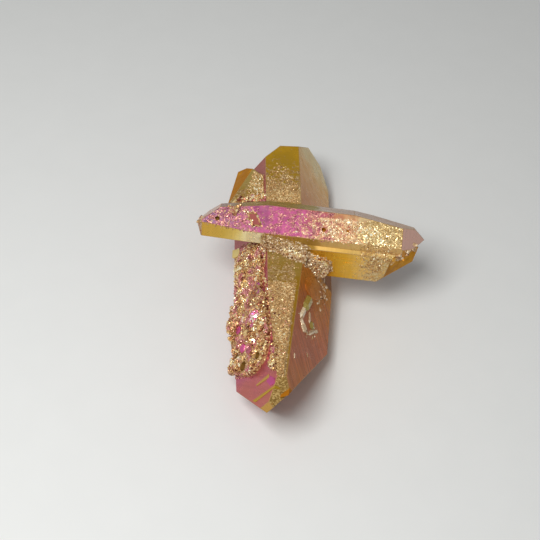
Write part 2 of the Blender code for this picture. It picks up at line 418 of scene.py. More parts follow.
def new_group(name: str, inputs: dict[str, float | None], outputs: tuple[str, ...]) -> GroupStart:
    """Start a node group.

    Args:
        name: the group's name.
        inputs: each input's name and its usual value, or none where it takes a place.
        outputs: the names of the outputs, which are all numbers.

    Returns:
        The tree, its wiring, what it is given, and the node that takes its results.
    """
    tree = bpy.data.node_groups.new(name, "ShaderNodeTree")
    for label, usual in inputs.items():
        kind = "NodeSocketVector" if usual is None else "NodeSocketFloat"
        socket = tree.interface.new_socket(label, in_out='INPUT', socket_type=kind)
        if usual is not None:
            socket.default_value = usual
    for label in outputs:
        tree.interface.new_socket(label, in_out='OUTPUT', socket_type="NodeSocketFloat")
    given = tree.nodes.new("NodeGroupInput").outputs
    return tree, Wiring(tree), given, tree.nodes.new("NodeGroupOutput")


class SharedEffects:
    """The shader node groups that more than one finish uses."""

    def __init__(self) -> None:
        """Build the groups once."""
        self.band = self._band()
        self.growth = self._growth()
        self.glitter = self._glitter()
        self.cover = self._cover()

    @staticmethod
    def _band() -> bpy.types.NodeTree:
        """Build the group that says how far along its colour band a point is.

        Returns:
            The group.
        """
        tree, wiring, given, result = new_group(
            "film_band",
            {"Face place": None, "Own place": None, "Low": -10.0, "High": 10.0, "Mottle": 0.1,
             "Mottle size": 2.0},
            ("Band",))
        along = wiring.parts(given["Face place"])[0]
        band = wiring.spread(along, given["Low"], given["High"], 0.0, 1.0)
        wide = wiring.noise(given["Own place"], given["Mottle size"], MORE_LAYERS)
        shift = wiring.calc('MULTIPLY', wiring.calc('SUBTRACT', wide, 0.5), given["Mottle"])
        wiring.feed(wiring.calc('ADD', band, shift), result, "Band")
        return tree

    @staticmethod
    def _growth() -> bpy.types.NodeTree:
        """Build the group for the fine lines and hillocks that growth leaves on a face.

        Returns:
            The group.
        """
        tree, wiring, given, result = new_group(
            "growth_relief",
            {"Face place": None, "Own place": None, "Turn": 0.0, "Spacing": 0.5, "Line height": 0.5},
            ("Height", "Lines"))
        turned = wiring.add("VectorRotate", rotation_type='Z_AXIS')
        wiring.feed(given["Face place"], turned, "Vector")
        wiring.feed(given["Turn"], turned, "Angle")
        along, across, _ = wiring.parts(turned.outputs[0])
        drawn_out = wiring.step("CombineXYZ", wiring.calc('MULTIPLY', along, LINE_SPEED),
                                wiring.calc('DIVIDE', across, given["Spacing"]))
        lines = wiring.noise(drawn_out.outputs[0], 1.0, FEW_LAYERS)
        wiring.feed(lines, result, "Lines")
        lines = wiring.calc('MULTIPLY', lines, given["Line height"])
        hillocks = wiring.noise(given["Own place"], HILLOCK_SIZE, FEW_LAYERS)
        hillocks = wiring.calc('MULTIPLY', hillocks, HILLOCK_SHARE)
        wiring.feed(wiring.calc('ADD', lines, hillocks), result, "Height")
        return tree

    @staticmethod
    def _cover() -> bpy.types.NodeTree:
        """Build the mask for a stretch of a face that fine grains cover in patches.

        Returns:
            The group.
        """
        tree, wiring, given, result = new_group(
            "velvet_cover",
            {"Face place": None, "Own place": None, "Begin": 0.0, "Full": 1.0, "Wane": 2.0, "End": 3.0,
             "Share": 1.0, "Patch size": 1.0, "Side": 50.0, "Slant": 0.0, "Soft": 0.06,
             "Other side": -50.0},
            ("Mask",))
        along, across, _ = wiring.parts(given["Face place"])
        grows = wiring.spread(along, given["Begin"], given["Full"], 0.0, 1.0)
        wanes = wiring.spread(along, given["Wane"], given["End"], 1.0, 0.0)
        border = wiring.calc('ADD', wiring.calc('MULTIPLY', along, given["Slant"]), given["Side"])
        before = wiring.spread(wiring.calc('SUBTRACT', border, across), *SOFT_BORDER, 0.0, 1.0)
        beyond = wiring.spread(wiring.calc('SUBTRACT', across, given["Other side"]), *SOFT_BORDER, 0.0, 1.0)
        within = wiring.calc('MULTIPLY', before, beyond)
        stretch = wiring.calc('MULTIPLY', wiring.calc('MINIMUM', grows, wanes), within)
        share = wiring.calc('MULTIPLY', stretch, given["Share"])
        patches = wiring.noise(given["Own place"], given["Patch size"], MORE_LAYERS, PATCH_ROUGH)
        patches = wiring.vary(patches, *PATCH_RANGE)
        margin = wiring.calc('SUBTRACT', wiring.calc('ADD', patches, share), 1.0)
        firm = wiring.calc('MULTIPLY', given["Soft"], -1.0)
        wiring.feed(wiring.spread(margin, firm, given["Soft"], 0.0, 1.0), result, "Mask")
        return tree

    @staticmethod
    def _glitter() -> bpy.types.NodeTree:
        """Build the group for tiny facets that each tilt their own way.

        Returns:
            The group.
        """
        tree, wiring, given, result = new_group(
            "glitter", {"Own place": None, "Facet size": 0.2}, ("Height", "Tone"))
        cells = wiring.step("TexVoronoi", given["Own place"])
        wiring.feed(wiring.calc('DIVIDE', 1.0, given["Facet size"]), cells, "Scale")
        offset = wiring.step("VectorMath", given["Own place"], cells.outputs["Position"],
                             operation='SUBTRACT')
        lean = wiring.step("VectorMath", cells.outputs["Color"], (0.5, 0.5, 0.5), operation='SUBTRACT')
        slope = wiring.step("VectorMath", offset.outputs[0], lean.outputs[0], operation='DOT_PRODUCT')
        wiring.feed(slope.outputs["Value"], result, "Height")
        shade = wiring.step("SeparateColor", cells.outputs["Color"])
        wiring.feed(shade.outputs[0], result, "Tone")
        return tree


def new_material(name: str) -> tuple[bpy.types.Material, Wiring, bpy.types.Node]:
    """Start a material.

    Args:
        name: its name.

    Returns:
        The material, its wiring and its shader.
    """
    made = bpy.data.materials.new(name)
    made.use_nodes = True
    return made, Wiring(made.node_tree), made.node_tree.nodes["Principled BSDF"]


def use_group(wiring: Wiring, group: bpy.types.NodeTree,
              **values: Source) -> bpy.types.bpy_prop_collection:
    """Place a shared group.

    Args:
        wiring: the wiring that it goes in.
        group: the group.
        values: what feeds its inputs, with underscores standing for the spaces in their names.

    Returns:
        Its outputs.
    """
    made = wiring.add("Group", node_tree=group)
    for name, value in values.items():
        wiring.feed(value, made, name.replace("_", " "))
    return made.outputs


def set_plain(shader: bpy.types.Node, **values: float) -> None:
    """Set plain numbers on a shader's own sockets, named with underscores for spaces."""
    for name, value in values.items():
        shader.inputs[name.replace("_", " ")].default_value = value


@dataclass(frozen=True)
class QuartzInside:
    """What the light meets under the film: clear quartz, a little stained."""

    ior: float = QUARTZ_IOR
    stain: Colour = (0.95, 0.70, 0.38)
    density: float = 90.0

    def fill(self, wiring: Wiring, shader: bpy.types.Node) -> None:
        """Give a material the quartz's refraction and absorption.

        Args:
            wiring: the material's wiring.
            shader: its shader.
        """
        set_plain(shader, IOR=self.ior)
        absorbs = wiring.add("VolumeAbsorption")
        absorbs.inputs["Color"].default_value = (*self.stain, 1.0)
        absorbs.inputs["Density"].default_value = self.density
        output = wiring.tree.nodes["Material Output"]
        wiring.tree.links.new(absorbs.outputs[0], output.inputs["Volume"])


@dataclass(frozen=True)
class Velvet:
    """A stretch of fine grains on a smooth face: where it lies along the face, and its colours."""

    stretch: tuple[float, float, float, float]   # where it begins, is full, wanes and ends
    stops: Stops
    share: float = 1.0
    patch_size: float = 1.2
    grain: float = 0.22
    relief: float = 0.35
    side: float = 50.0           # how far across the face it reaches
    slant: float = 0.0           # how much further across it reaches per mm along
    soft: float = 0.06           # how gently its patches fade out
    other_side: float = -50.0    # how far across the face it begins

    def lay(self, wiring: Wiring, effects: SharedEffects, places: dict[str, Socket],
            colour: Source, height: Source) -> tuple[Socket, Socket]:
        """Lay the velvet over a film.

        Args:
            wiring: the film's wiring.
            effects: the shared node groups.
            places: the point's places on the face and in the piece, by the groups' names for them.
            colour: the film's colour.
            height: its relief.

        Returns:
            The colour and the relief with the velvet over them.
        """
        begin, full, wane, end = self.stretch
        mask = use_group(wiring, effects.cover, **places, Begin=begin, Full=full, Wane=wane, End=end,
                         Share=self.share, Patch_size=self.patch_size, Side=self.side, Slant=self.slant,
                         Soft=self.soft, Other_side=self.other_side)[0]
        flakes = use_group(wiring, effects.glitter, Own_place=places["Own_place"], Facet_size=self.grain)
        colour = wiring.blend(mask, colour, wiring.ramp(flakes["Tone"], self.stops))
        grained = wiring.calc('MULTIPLY', wiring.calc('MULTIPLY', flakes["Height"], mask), self.relief)
        return colour, wiring.calc('ADD', height, grained)


@dataclass(frozen=True)
class FilmFinish:
    """A metal film on a smooth face: its colours along the face, its shine and its fine lines."""

    name: str
    stops: Stops
    mottle: float = 0.25
    mottle_size: float = 3.0
    roughness: float = 0.3
    metallic: float = 0.55
    clear: float = 0.45
    shine: float = 0.2           # strength of the clear reflection over the colour
    line_turn: float = 90.0
    line_spacing: float = 0.45
    line_height: float = 0.4
    relief: float = 0.03
    streak: float = 0.06         # how much the fine lines lighten and darken the colour
    velvets: tuple[Velvet, ...] = ()
    rough_patch: float = 1.4     # size of its smoother and duller patches, in mm
    smooth: float = 0.7          # roughness of the smoothest, as a share of its own
    dull: float = 1.4            # that of the dullest

    def material(self, effects: SharedEffects, quartz: QuartzInside) -> bpy.types.Material:
        """Make the material.

        Args:
            effects: the shared node groups.
            quartz: what lies under the film.

        Returns:
            The material.
        """
        made, wiring, shader = new_material(self.name)
        own = own_millimetres(wiring)
        places = {"Face_place": wiring.add("UVMap", uv_map=FACE_MAP).outputs[0], "Own_place": own}
        low, high = self.stops[0][0], self.stops[-1][0]
        band = use_group(wiring, effects.band, **places, Low=low, High=high, Mottle=self.mottle,
                         Mottle_size=self.mottle_size)
        stops = tuple(((place - low) / (high - low), tone) for place, tone in self.stops)
        colour = wiring.ramp(band[0], stops)
        growth = use_group(wiring, effects.growth, **places, Turn=math.radians(self.line_turn),
                           Spacing=self.line_spacing, Line_height=self.line_height)
        height = wiring.calc('MULTIPLY', growth["Height"], self.relief)
        streaks = wiring.vary(growth["Lines"], 1 - self.streak, 1 + self.streak)
        streaked = wiring.step("VectorMath", colour, operation='SCALE')
        wiring.feed(streaks, streaked, "Scale")
        colour = streaked.outputs[0]
        for velvet in self.velvets:
            colour, height = velvet.lay(wiring, effects, places, colour, height)
        rough = wiring.vary(wiring.noise(own, self.rough_patch, MORE_LAYERS),
                            self.roughness * self.smooth, self.roughness * self.dull)
        wiring.feed(colour, shader, "Base Color")
        wiring.feed(rough, shader, "Roughness")
        wiring.bump(height, MM, shader)
        set_plain(shader, Metallic=self.metallic, Transmission_Weight=self.clear,
                  Specular_IOR_Level=self.shine)
        quartz.fill(wiring, shader)
        return made


@dataclass(frozen=True)
class CrustFinish:
    """The film in the hollows of the crust, between its small crystals."""

    name: str
    stops: Stops
    facet_size: float = 0.28
    roughness: float = 0.25
    metallic: float = 0.5
    clear: float = 0.1
    patch: float = 0.25          # how much wide patches lighten and darken it
    patch_size: float = 2.2
    smooth: float = 0.6          # roughness of its smoothest facets, as a share of its own
    dull: float = 1.5            # that of its dullest
    relief: float = 0.9

    def material(self, effects: SharedEffects, quartz: QuartzInside) -> bpy.types.Material:
        """Make the material.

        Args:
            effects: the shared node groups.
            quartz: what lies under the film.

        Returns:
            The material.
        """
        made, wiring, shader = new_material(self.name)
        own = own_millimetres(wiring)
        flakes = use_group(wiring, effects.glitter, Own_place=own, Facet_size=self.facet_size)
        patches = wiring.vary(wiring.noise(own, self.patch_size, FEW_LAYERS), -self.patch, self.patch)
        tone = wiring.calc('ADD', flakes["Tone"], patches)
        rough = wiring.spread(flakes["Tone"], 0.0, 1.0, self.roughness * self.smooth,
                              self.roughness * self.dull)
        wiring.feed(wiring.ramp(tone, self.stops), shader, "Base Color")
        wiring.feed(rough, shader, "Roughness")
        wiring.bump(flakes["Height"], self.relief * MM, shader)
        set_plain(shader, Metallic=self.metallic, Transmission_Weight=self.clear)
        quartz.fill(wiring, shader)
        return made


@dataclass(frozen=True)
class GrainFinish:
    """The film on small crystals: the colours that their faces take, from dull to bright."""

    name: str
    stops: Stops
    roughness: float = 0.18
    metallic: float = 0.45
    patch: float = 0.15          # how much wide patches lighten and darken it
    patch_size: float = 2.5
    facet_size: float = 0.16
    blush: Colour | None = None  # a second colour, in wide patches
    blush_size: float = 1.8
    blush_border: Spot = (0.5, 0.62)   # the noise's values where a patch of it begins and is full
    blush_share: float = 0.75
    smooth: float = 0.5          # roughness of its smoothest facets, as a share of its own
    dull: float = 1.6            # that of its dullest
    relief: float = 0.25

    def material(self, effects: SharedEffects) -> bpy.types.Material:
        """Make the material.

        Args:
            effects: the shared node groups.

        Returns:
            The material.
        """
        made, wiring, shader = new_material(self.name)
        own = own_millimetres(wiring)
        tone = wiring.add("Attribute", attribute_name=TONE).outputs["Fac"]
        patches = wiring.vary(wiring.noise(own, self.patch_size, FEW_LAYERS), -self.patch, self.patch)
        colour = wiring.ramp(wiring.calc('ADD', tone, patches), self.stops)
        if self.blush:
            share = wiring.spread(wiring.noise(own, self.blush_size, FEW_LAYERS), *self.blush_border,
                                  0.0, self.blush_share)
            colour = wiring.blend(share, colour, (*self.blush, 1.0))
        flakes = use_group(wiring, effects.glitter, Own_place=own, Facet_size=self.facet_size)
        rough = wiring.spread(flakes["Tone"], 0.0, 1.0, self.roughness * self.smooth,
                              self.roughness * self.dull)
        wiring.feed(colour, shader, "Base Color")
        wiring.feed(rough, shader, "Roughness")
        wiring.bump(flakes["Height"], self.relief * MM, shader)
        set_plain(shader, Metallic=self.metallic, IOR=QUARTZ_IOR)
        return made


def shared_material(finish: GrainFinish, effects: SharedEffects) -> bpy.types.Material:
    """Return a grain finish's material, made once."""
    return bpy.data.materials.get(finish.name) or finish.material(effects)


BEIGE_TONES: Stops = ((0.0, (0.33, 0.16, 0.05)), (0.25, (0.50, 0.29, 0.11)), (0.75, (0.65, 0.42, 0.17)),
    (1.0, (0.90, 0.72, 0.42)))
SAND_TONES: Stops = ((0.0, (0.16, 0.09, 0.02)), (0.5, (0.28, 0.17, 0.05)), (1.0, (0.50, 0.35, 0.14)))
PEACH_TONES: Stops = ((0.0, (0.60, 0.24, 0.13)), (0.35, (0.84, 0.50, 0.26)), (0.8, (0.93, 0.69, 0.40)),
    (1.0, (0.98, 0.90, 0.66)))
GOLD_TONES: Stops = ((0.0, (0.60, 0.37, 0.12)), (0.35, (0.72, 0.48, 0.19)), (0.8, (0.78, 0.57, 0.26)),
    (1.0, (0.90, 0.77, 0.46)))
PINK_TONES: Stops = ((0.0, (0.34, 0.09, 0.14)), (0.3, (0.50, 0.14, 0.20)), (0.7, (0.58, 0.24, 0.20)),
    (1.0, (0.78, 0.50, 0.32)))

FILMS: dict[Film, FilmFinish | CrustFinish] = {
    Film.OLIVE: FilmFinish("olive_gold_film", ((-20.0, (0.46, 0.23, 0.02)), (-3.0, (0.42, 0.22, 0.01)),
        (0.5, (0.46, 0.29, 0.05)), (4.0, (0.50, 0.36, 0.10)), (12.0, (0.50, 0.32, 0.07)),
        (14.0, (0.54, 0.32, 0.05)), (19.0, (0.50, 0.29, 0.02)), (24.0, (0.54, 0.31, 0.01)),
        (27.0, (0.66, 0.37, 0.01))), shine=0.1, roughness=0.36,
        velvets=(Velvet((-31.0, -30.0, -3.8, -1.2), BEIGE_TONES, 1.0, 0.8, 0.2, side=1.19, slant=0.118),
        Velvet((-4.5, -1.5, 0.0, 4.6), BEIGE_TONES, 0.62, 0.7, 0.18, side=0.9, soft=0.2),
        Velvet((13.7, 14.6, 15.4, 25.0), BEIGE_TONES, 0.96, 0.6, 0.2, soft=0.14),
        Velvet((13.9, 14.2, 15.6, 18.0), GOLD_TONES, 0.85, 0.8, 0.2, soft=0.16))),
    Film.TAN: FilmFinish("tan_film", ((4.0, (0.46, 0.18, 0.05)), (10.0, (0.56, 0.21, 0.06)),
        (16.0, (0.63, 0.26, 0.07)), (20.0, (0.71, 0.35, 0.10)), (25.0, (0.79, 0.46, 0.14)),
        (28.0, (0.80, 0.62, 0.30))), shine=0.08),
    Film.AMBER: FilmFinish("amber_film", ((-19.0, (0.52, 0.17, 0.04)), (-12.0, (0.49, 0.14, 0.06)),
        (-7.0, (0.50, 0.14, 0.05)), (-3.0, (0.54, 0.16, 0.02)), (0.0, (0.60, 0.22, 0.03)),
        (4.0, (0.72, 0.32, 0.05))), mottle=0.6, mottle_size=4.0, metallic=0.25, clear=0.2, shine=0.05,
        line_turn=49.0, line_spacing=0.35, line_height=1.4, streak=0.3),
    Film.ROSE: FilmFinish("rose_film", ((-22.0, (0.60, 0.15, 0.13)), (0.0, (0.56, 0.13, 0.16)),
        (20.0, (0.50, 0.15, 0.12))), shine=0.1),
    Film.TIP_ROSE: FilmFinish("tip_rose_film", ((-22.0, (0.60, 0.17, 0.12)), (-17.0, (0.60, 0.15, 0.15)),
        (-12.0, (0.56, 0.12, 0.23)), (0.0, (0.56, 0.12, 0.22))), mottle=0.6, shine=0.12, streak=0.1,
        line_turn=55.0),
    Film.BRONZE: FilmFinish("bronze_film", ((-22.0, (0.20, 0.12, 0.02)), (-20.0, (0.23, 0.13, 0.02)),
        (-18.0, (0.27, 0.13, 0.03))), roughness=0.5, metallic=0.2, shine=0.03, clear=0.0,
        velvets=(Velvet((-40.0, -39.0, 39.0, 40.0), SAND_TONES, 0.85, 0.5, 0.16, 0.14),)),
    Film.LEMON: FilmFinish("lemon_film", ((-27.0, (0.54, 0.40, 0.02)), (-22.4, (0.50, 0.37, 0.01)),
        (-21.0, (0.46, 0.31, 0.02)), (-20.4, (0.44, 0.27, 0.04)), (-18.0, (0.46, 0.26, 0.07))),
        metallic=0.25, shine=0.02, clear=0.0, mottle=0.3, mottle_size=1.0),
    Film.AURORA: FilmFinish("aurora_film", ((-16.0, (0.28, 0.14, 0.27)), (-12.0, (0.36, 0.14, 0.24)),
        (-7.5, (0.50, 0.12, 0.27)), (-3.0, (0.62, 0.12, 0.32)), (0.5, (0.60, 0.14, 0.24)),
        (4.0, (0.62, 0.19, 0.14)), (7.5, (0.72, 0.34, 0.16)), (10.6, (0.88, 0.66, 0.34)),
        (12.6, (0.74, 0.48, 0.17)), (14.0, (0.72, 0.45, 0.15))), mottle=0.55, mottle_size=1.6,
        shine=0.12,
        velvets=(Velvet((-18.0, -17.0, -8.5, -5.0), PINK_TONES, 0.5, 0.5, 0.16, 0.2, soft=0.14),
        Velvet((-7.0, -5.0, 4.0, 8.0), PINK_TONES, 0.46, 0.9, 0.16, 0.2, soft=0.14),
        Velvet((-4.0, 4.5, 16.0, 17.0), PEACH_TONES, 0.66, 1.0, 0.18, 0.25, soft=0.12, other_side=-2.7),
        Velvet((6.0, 11.5, 16.0, 17.0), GOLD_TONES, 0.9, 0.8, 0.18, 0.25, soft=0.12, other_side=-2.9))),
    # Straw film with painted light: its olive middle stops are painted shade and reflection where the face
    # lies over the long crystal, and its near-white stops are partly painted highlight.
    Film.STRAW: FilmFinish("straw_film_with_painted_shade", ((-16.0, (0.60, 0.33, 0.05)), (-12.0, (0.62, 0.41, 0.07)),
        (-10.0, (0.71, 0.51, 0.13)), (-9.0, (0.80, 0.64, 0.24)), (-8.2, (0.92, 0.82, 0.46)),
        (-6.0, (0.98, 0.94, 0.62)), (-5.4, (0.46, 0.29, 0.08)), (1.0, (0.44, 0.26, 0.05)),
        (2.2, (0.50, 0.30, 0.07)), (3.0, (0.70, 0.47, 0.16)), (14.0, (0.64, 0.40, 0.15))), mottle=0.1,
        shine=0.12, clear=0.05),
    Film.ASH: FilmFinish("ash_rose_film", ((-12.0, (0.46, 0.27, 0.22)), (-9.5, (0.44, 0.29, 0.06)),
        (1.4, (0.42, 0.31, 0.03)), (2.6, (0.70, 0.52, 0.40)), (7.0, (0.72, 0.53, 0.42)),
        (14.0, (0.68, 0.45, 0.30))), streak=0.35, line_height=1.6, line_spacing=0.3, line_turn=0.0,
        shine=0.15),
    Film.MAUVE: FilmFinish("mauve_film", ((-4.0, (0.78, 0.50, 0.40)), (4.0, (0.74, 0.46, 0.38))),
        metallic=0.25, clear=0.3),
    Film.HONEY: FilmFinish("honey_film", ((-8.0, (0.36, 0.19, 0.03)), (-3.4, (0.38, 0.20, 0.03)),
        (-2.8, (0.86, 0.45, 0.03)), (1.6, (0.92, 0.52, 0.04)), (5.5, (0.94, 0.62, 0.20)),
        (8.0, (0.84, 0.46, 0.07)), (9.6, (0.66, 0.28, 0.02)), (12.0, (0.62, 0.26, 0.02))), mottle=0.3,
        mottle_size=2.4, shine=0.1,
        velvets=(Velvet((2.5, 6.0, 8.0, 10.0), GOLD_TONES, 0.72, 0.5, 0.18, soft=0.15),)),
    Film.RUST: FilmFinish("rust_film", ((-21.0, (0.41, 0.15, 0.01)), (-4.0, (0.43, 0.165, 0.015)),
        (5.0, (0.45, 0.185, 0.015)), (9.0, (0.66, 0.30, 0.01)), (13.0, (0.55, 0.22, 0.005))),
        mottle=0.5, mottle_size=1.5, roughness=0.45, metallic=0.15, clear=0.0, shine=0.02),
    Film.CRUST: CrustFinish("crust_film", ((0.0, (0.20, 0.05, 0.02)), (0.3, (0.42, 0.16, 0.07)),
        (0.6, (0.58, 0.32, 0.13)), (1.0, (0.74, 0.50, 0.22)))),
    Film.MAGENTA: FilmFinish("magenta_film", ((-20.0, (0.54, 0.07, 0.24)), (-17.0, (0.54, 0.07, 0.24)),
        (-9.0, (0.64, 0.08, 0.26)), (-3.0, (0.42, 0.08, 0.26)), (10.0, (0.42, 0.08, 0.26))), clear=0.15,
        shine=0.3, mottle=0.1),
    Film.EDGE: FilmFinish("worn_edge_film", ((-30.0, (0.46, 0.27, 0.10)), (30.0, (0.50, 0.30, 0.12))),
        roughness=0.4, clear=0.2, shine=0.1),
    Film.GLINT: FilmFinish("bright_facet_film", ((-30.0, (0.95, 0.86, 0.70)), (30.0, (0.95, 0.84, 0.70))),
        roughness=0.14, metallic=0.8, clear=0.0, relief=0.01),
    # Painted shade: the dark film in the pits stands for the shade inside them.
    Film.HOLLOW: FilmFinish("pit_shade_film", ((-30.0, (0.20, 0.10, 0.02)), (30.0, (0.20, 0.10, 0.02))),
        roughness=0.5, metallic=0.3, clear=0.0, shine=0.05),
    Film.MOUND: FilmFinish("umber_film", ((-12.0, (0.33, 0.09, 0.08)), (-6.0, (0.34, 0.09, 0.08)),
        (3.0, (0.44, 0.16, 0.04))), roughness=0.4, metallic=0.3, clear=0.1, shine=0.05),
    Film.SHELF: FilmFinish("pale_shelf_film", ((-12.0, (0.28, 0.16, 0.03)), (-3.5, (0.32, 0.18, 0.03)),
        (-2.9, (0.72, 0.46, 0.14)), (0.5, (0.66, 0.42, 0.11)), (2.6, (0.56, 0.37, 0.11)),
        (6.0, (0.62, 0.42, 0.15)), (8.0, (0.84, 0.66, 0.25)), (14.0, (0.84, 0.66, 0.25))),
        roughness=0.45, clear=0.1, shine=0.05, mottle=0.1),
}

CRUST_GRAINS = GrainFinish("crust_grain_film", ((0.0, (0.14, 0.03, 0.02)), (0.14, (0.34, 0.09, 0.05)),
    (0.26, (0.54, 0.24, 0.10)), (0.4, (0.62, 0.38, 0.13)), (0.7, (0.72, 0.50, 0.21)),
    (0.9, (0.86, 0.70, 0.36)), (1.0, (0.98, 0.94, 0.70))), blush=(0.60, 0.17, 0.25))
ROSY_GRAINS = GrainFinish("rosy_grain_film", ((0.0, (0.40, 0.06, 0.14)), (0.3, (0.62, 0.12, 0.28)),
    (0.6, (0.78, 0.34, 0.42)), (0.8, (0.94, 0.66, 0.60)), (1.0, (0.98, 0.90, 0.84))), roughness=0.16,
    metallic=0.5)
BEIGE_GRAINS = GrainFinish("beige_grain_film", BEIGE_TONES, roughness=0.34, metallic=0.3)
SILVER_GRAINS = GrainFinish("silver_grain_film", ((0.0, (0.26, 0.12, 0.05)), (0.3, (0.50, 0.31, 0.15)),
    (0.75, (0.64, 0.46, 0.26)), (1.0, (0.92, 0.82, 0.62))), roughness=0.36, metallic=0.3)
# Cream grains, partly painted highlight: their near-white tones stand in for glints and are sown where
# highlights fall.
CREAM_HIGHLIGHT_GRAINS = GrainFinish("cream_highlight_grain_film", ((0.0, (0.56, 0.38, 0.15)), (0.4, (0.82, 0.66, 0.33)),
    (1.0, (0.98, 0.95, 0.74))), roughness=0.24)
AURORA_GRAINS = GrainFinish("aurora_grain_film", ((0.0, (0.24, 0.07, 0.07)), (0.35, (0.38, 0.15, 0.13)),
    (0.7, (0.46, 0.24, 0.14)), (1.0, (0.72, 0.52, 0.28))), roughness=0.36, metallic=0.25)
PINK_GRAINS = GrainFinish("pink_grain_film", PINK_TONES, roughness=0.3, metallic=0.35)
PEACH_GRAINS = GrainFinish("peach_grain_film", PEACH_TONES, roughness=0.42, metallic=0.2)
GOLD_GRAINS = GrainFinish("gold_grain_film", GOLD_TONES, roughness=0.5, metallic=0.2)
FROST = GrainFinish("frosted_film", ((0.0, (0.44, 0.26, 0.12)), (0.5, (0.64, 0.46, 0.27)),
    (1.0, (0.92, 0.78, 0.56))), metallic=0.2)
CELADON = GrainFinish("pale_green_film", ((0.0, (0.32, 0.23, 0.04)), (0.5, (0.40, 0.31, 0.07)),
    (1.0, (0.54, 0.44, 0.18))), metallic=0.3)


# ---------------- crystals


@dataclass(frozen=True)
class Facet:
    """A flat face: where it looks round the crystal, its lean to the tip, its reach and its film."""

    around: float
    lean: float
    reach: float
    film: Film


@dataclass(frozen=True)
class Crystal:
    """One crystal: its centre, where its long axis points in plan, its turn, and its facets."""

    name: str
    centre: tuple[float, float, float]
    heading: float
    roll: float
    facets: tuple[Facet, ...]
    edge: float = 0.05           # width of the worn edges

    def axes(self) -> tuple[Vector, Vector, Vector]:
        """Find the directions that the facets' angles start from.

        Returns:
            The long axis, the direction of around 0, and that of around 90.
        """
        heading, roll = math.radians(self.heading), math.radians(self.roll)
        along = Vector((math.cos(heading), math.sin(heading), 0.0))
        side = along.cross(Vector((0.0, 0.0, 1.0)))
        zero = math.cos(roll) * Vector((0.0, 0.0, 1.0)) + math.sin(roll) * side
        return along, zero, along.cross(zero)

    def across(self, around: float) -> Vector:
        """Find the direction across a face.

        Args:
            around: where the face looks, in degrees.

        Returns:
            The direction, square to the long axis.
        """
        _, zero, ninety = self.axes()
        turn = math.radians(around)
        return math.cos(turn) * ninety - math.sin(turn) * zero

    def normal(self, around: float, lean: float) -> Vector:
        """Find the outward direction of a facet.

        Args:
            around: where it looks, in degrees.
            lean: its lean to the tip, in degrees.

        Returns:
            The direction.
        """
        along, zero, ninety = self.axes()
        turn, tip = math.radians(around), math.radians(lean)
        level = math.cos(turn) * zero + math.sin(turn) * ninety
        return math.cos(tip) * level + math.sin(tip) * along

    def spot(self, around: float, reach: float, place: Spot) -> Vector:
        """Find a point over a prism face.

        Args:
            around: where the face looks.
            reach: how far from the centre the point lies, in mm.
            place: its places along and across the face, in mm.

        Returns:
            The point in metres.
        """
        sideways = self.across(around) * place[1]
        offset = self.normal(around, 0.0) * reach + self.axes()[0] * place[0] + sideways
        return (Vector(self.centre) + offset) * MM

    def build(self, coats: Coats) -> Piece:
        """Cut the crystal from its blank and give each face its film.

        Args:
            coats: the films' materials, in the order of their slots.

        Returns:
            The crystal, placed in its mesh.
        """
        start_clean()
        along = self.axes()[0]
        centre = Vector(self.centre) * MM
        bpy.ops.mesh.primitive_cylinder_add(
            vertices=6, radius=BLANK_RADIUS * MM, depth=BLANK_LENGTH * MM, location=centre,
            rotation=along.to_track_quat('Z', 'Y').to_euler())
        made = bpy.context.object
        made.name = self.name
        place_in_mesh(made)
        bpy.ops.object.mode_set(mode='EDIT')
        for facet in self.facets:
            outward = self.normal(facet.around, facet.lean)
            bpy.ops.mesh.select_all(action='SELECT')
            bpy.ops.mesh.bisect(
                plane_co=centre + outward * (facet.reach * MM), plane_no=outward, use_fill=True,
                clear_outer=True, threshold=CUT_NEAR)
        bpy.ops.mesh.select_all(action='SELECT')
        bpy.ops.mesh.remove_doubles(threshold=MERGE_NEAR)
        bpy.ops.mesh.bevel(offset=self.edge * MM, segments=1, affect='EDGES', clamp_overlap=True)
        bpy.ops.mesh.normals_make_consistent(inside=False)
        bpy.ops.object.mode_set(mode='OBJECT')
        self.dress(made, coats)
        return made

    def dress(self, made: Piece, coats: Coats) -> None:
        """Give each face its film and its places along and across.

        Args:
            made: the crystal.
            coats: the films' materials.
        """
        for coat in coats:
            made.data.materials.append(coat)
        normals = [self.normal(facet.around, facet.lean) for facet in self.facets]
        layer = made.data.uv_layers.new(name=FACE_MAP)
        centre = Vector(self.centre) * MM
        for polygon in made.data.polygons:
            matches = [polygon.normal.dot(normal) for normal in normals]
            best = max(range(len(matches)), key=matches.__getitem__)
            facet = self.facets[best]
            flat = matches[best] > GENTLE
            polygon.material_index = facet.film.value if flat else Film.EDGE.value
            across = self.across(facet.around)
            uphill = across.cross(normals[best])
            uphill *= math.copysign(1.0, uphill.dot(self.axes()[0]))
            for loop in polygon.loop_indices:
                offset = made.data.vertices[made.data.loops[loop].vertex_index].co - centre
                layer.data[loop].uv = (offset.dot(uphill) / MM, offset.dot(across) / MM)


MAIN = Crystal(
    "long_crystal", (3.0, 0.0, 7.0), 90.0, 0.0,
    (
        Facet(0, 0, 6.6, Film.OLIVE), Facet(60, 0, 5.2, Film.TAN), Facet(60, -7, 4.75, Film.AMBER),
        Facet(120, -3.5, 7.6, Film.AMBER), Facet(180, 0, 7.0, Film.BRONZE), Facet(240, 0, 7.65, Film.ROSE),
        Facet(300, 0, 6.2, Film.ROSE), Facet(300, -3.5, 6.45, Film.TIP_ROSE),
        Facet(0, 45, 23.65, Film.OLIVE), Facet(60, RHOMB, 22.95, Film.TAN),
        Facet(300, RHOMB, 19.8, Film.ROSE), Facet(120, RHOMB, 24.0, Film.AMBER),
        Facet(180, RHOMB, 25.0, Film.BRONZE), Facet(240, RHOMB, 22.5, Film.ROSE),
        Facet(0, -RHOMB, 17.0, Film.BRONZE), Facet(120, -RHOMB, 10.55, Film.AMBER),
        Facet(225, -43.5, 16.0, Film.ROSE), Facet(299, -48.5, 19.75, Film.LEMON),
    ),
)
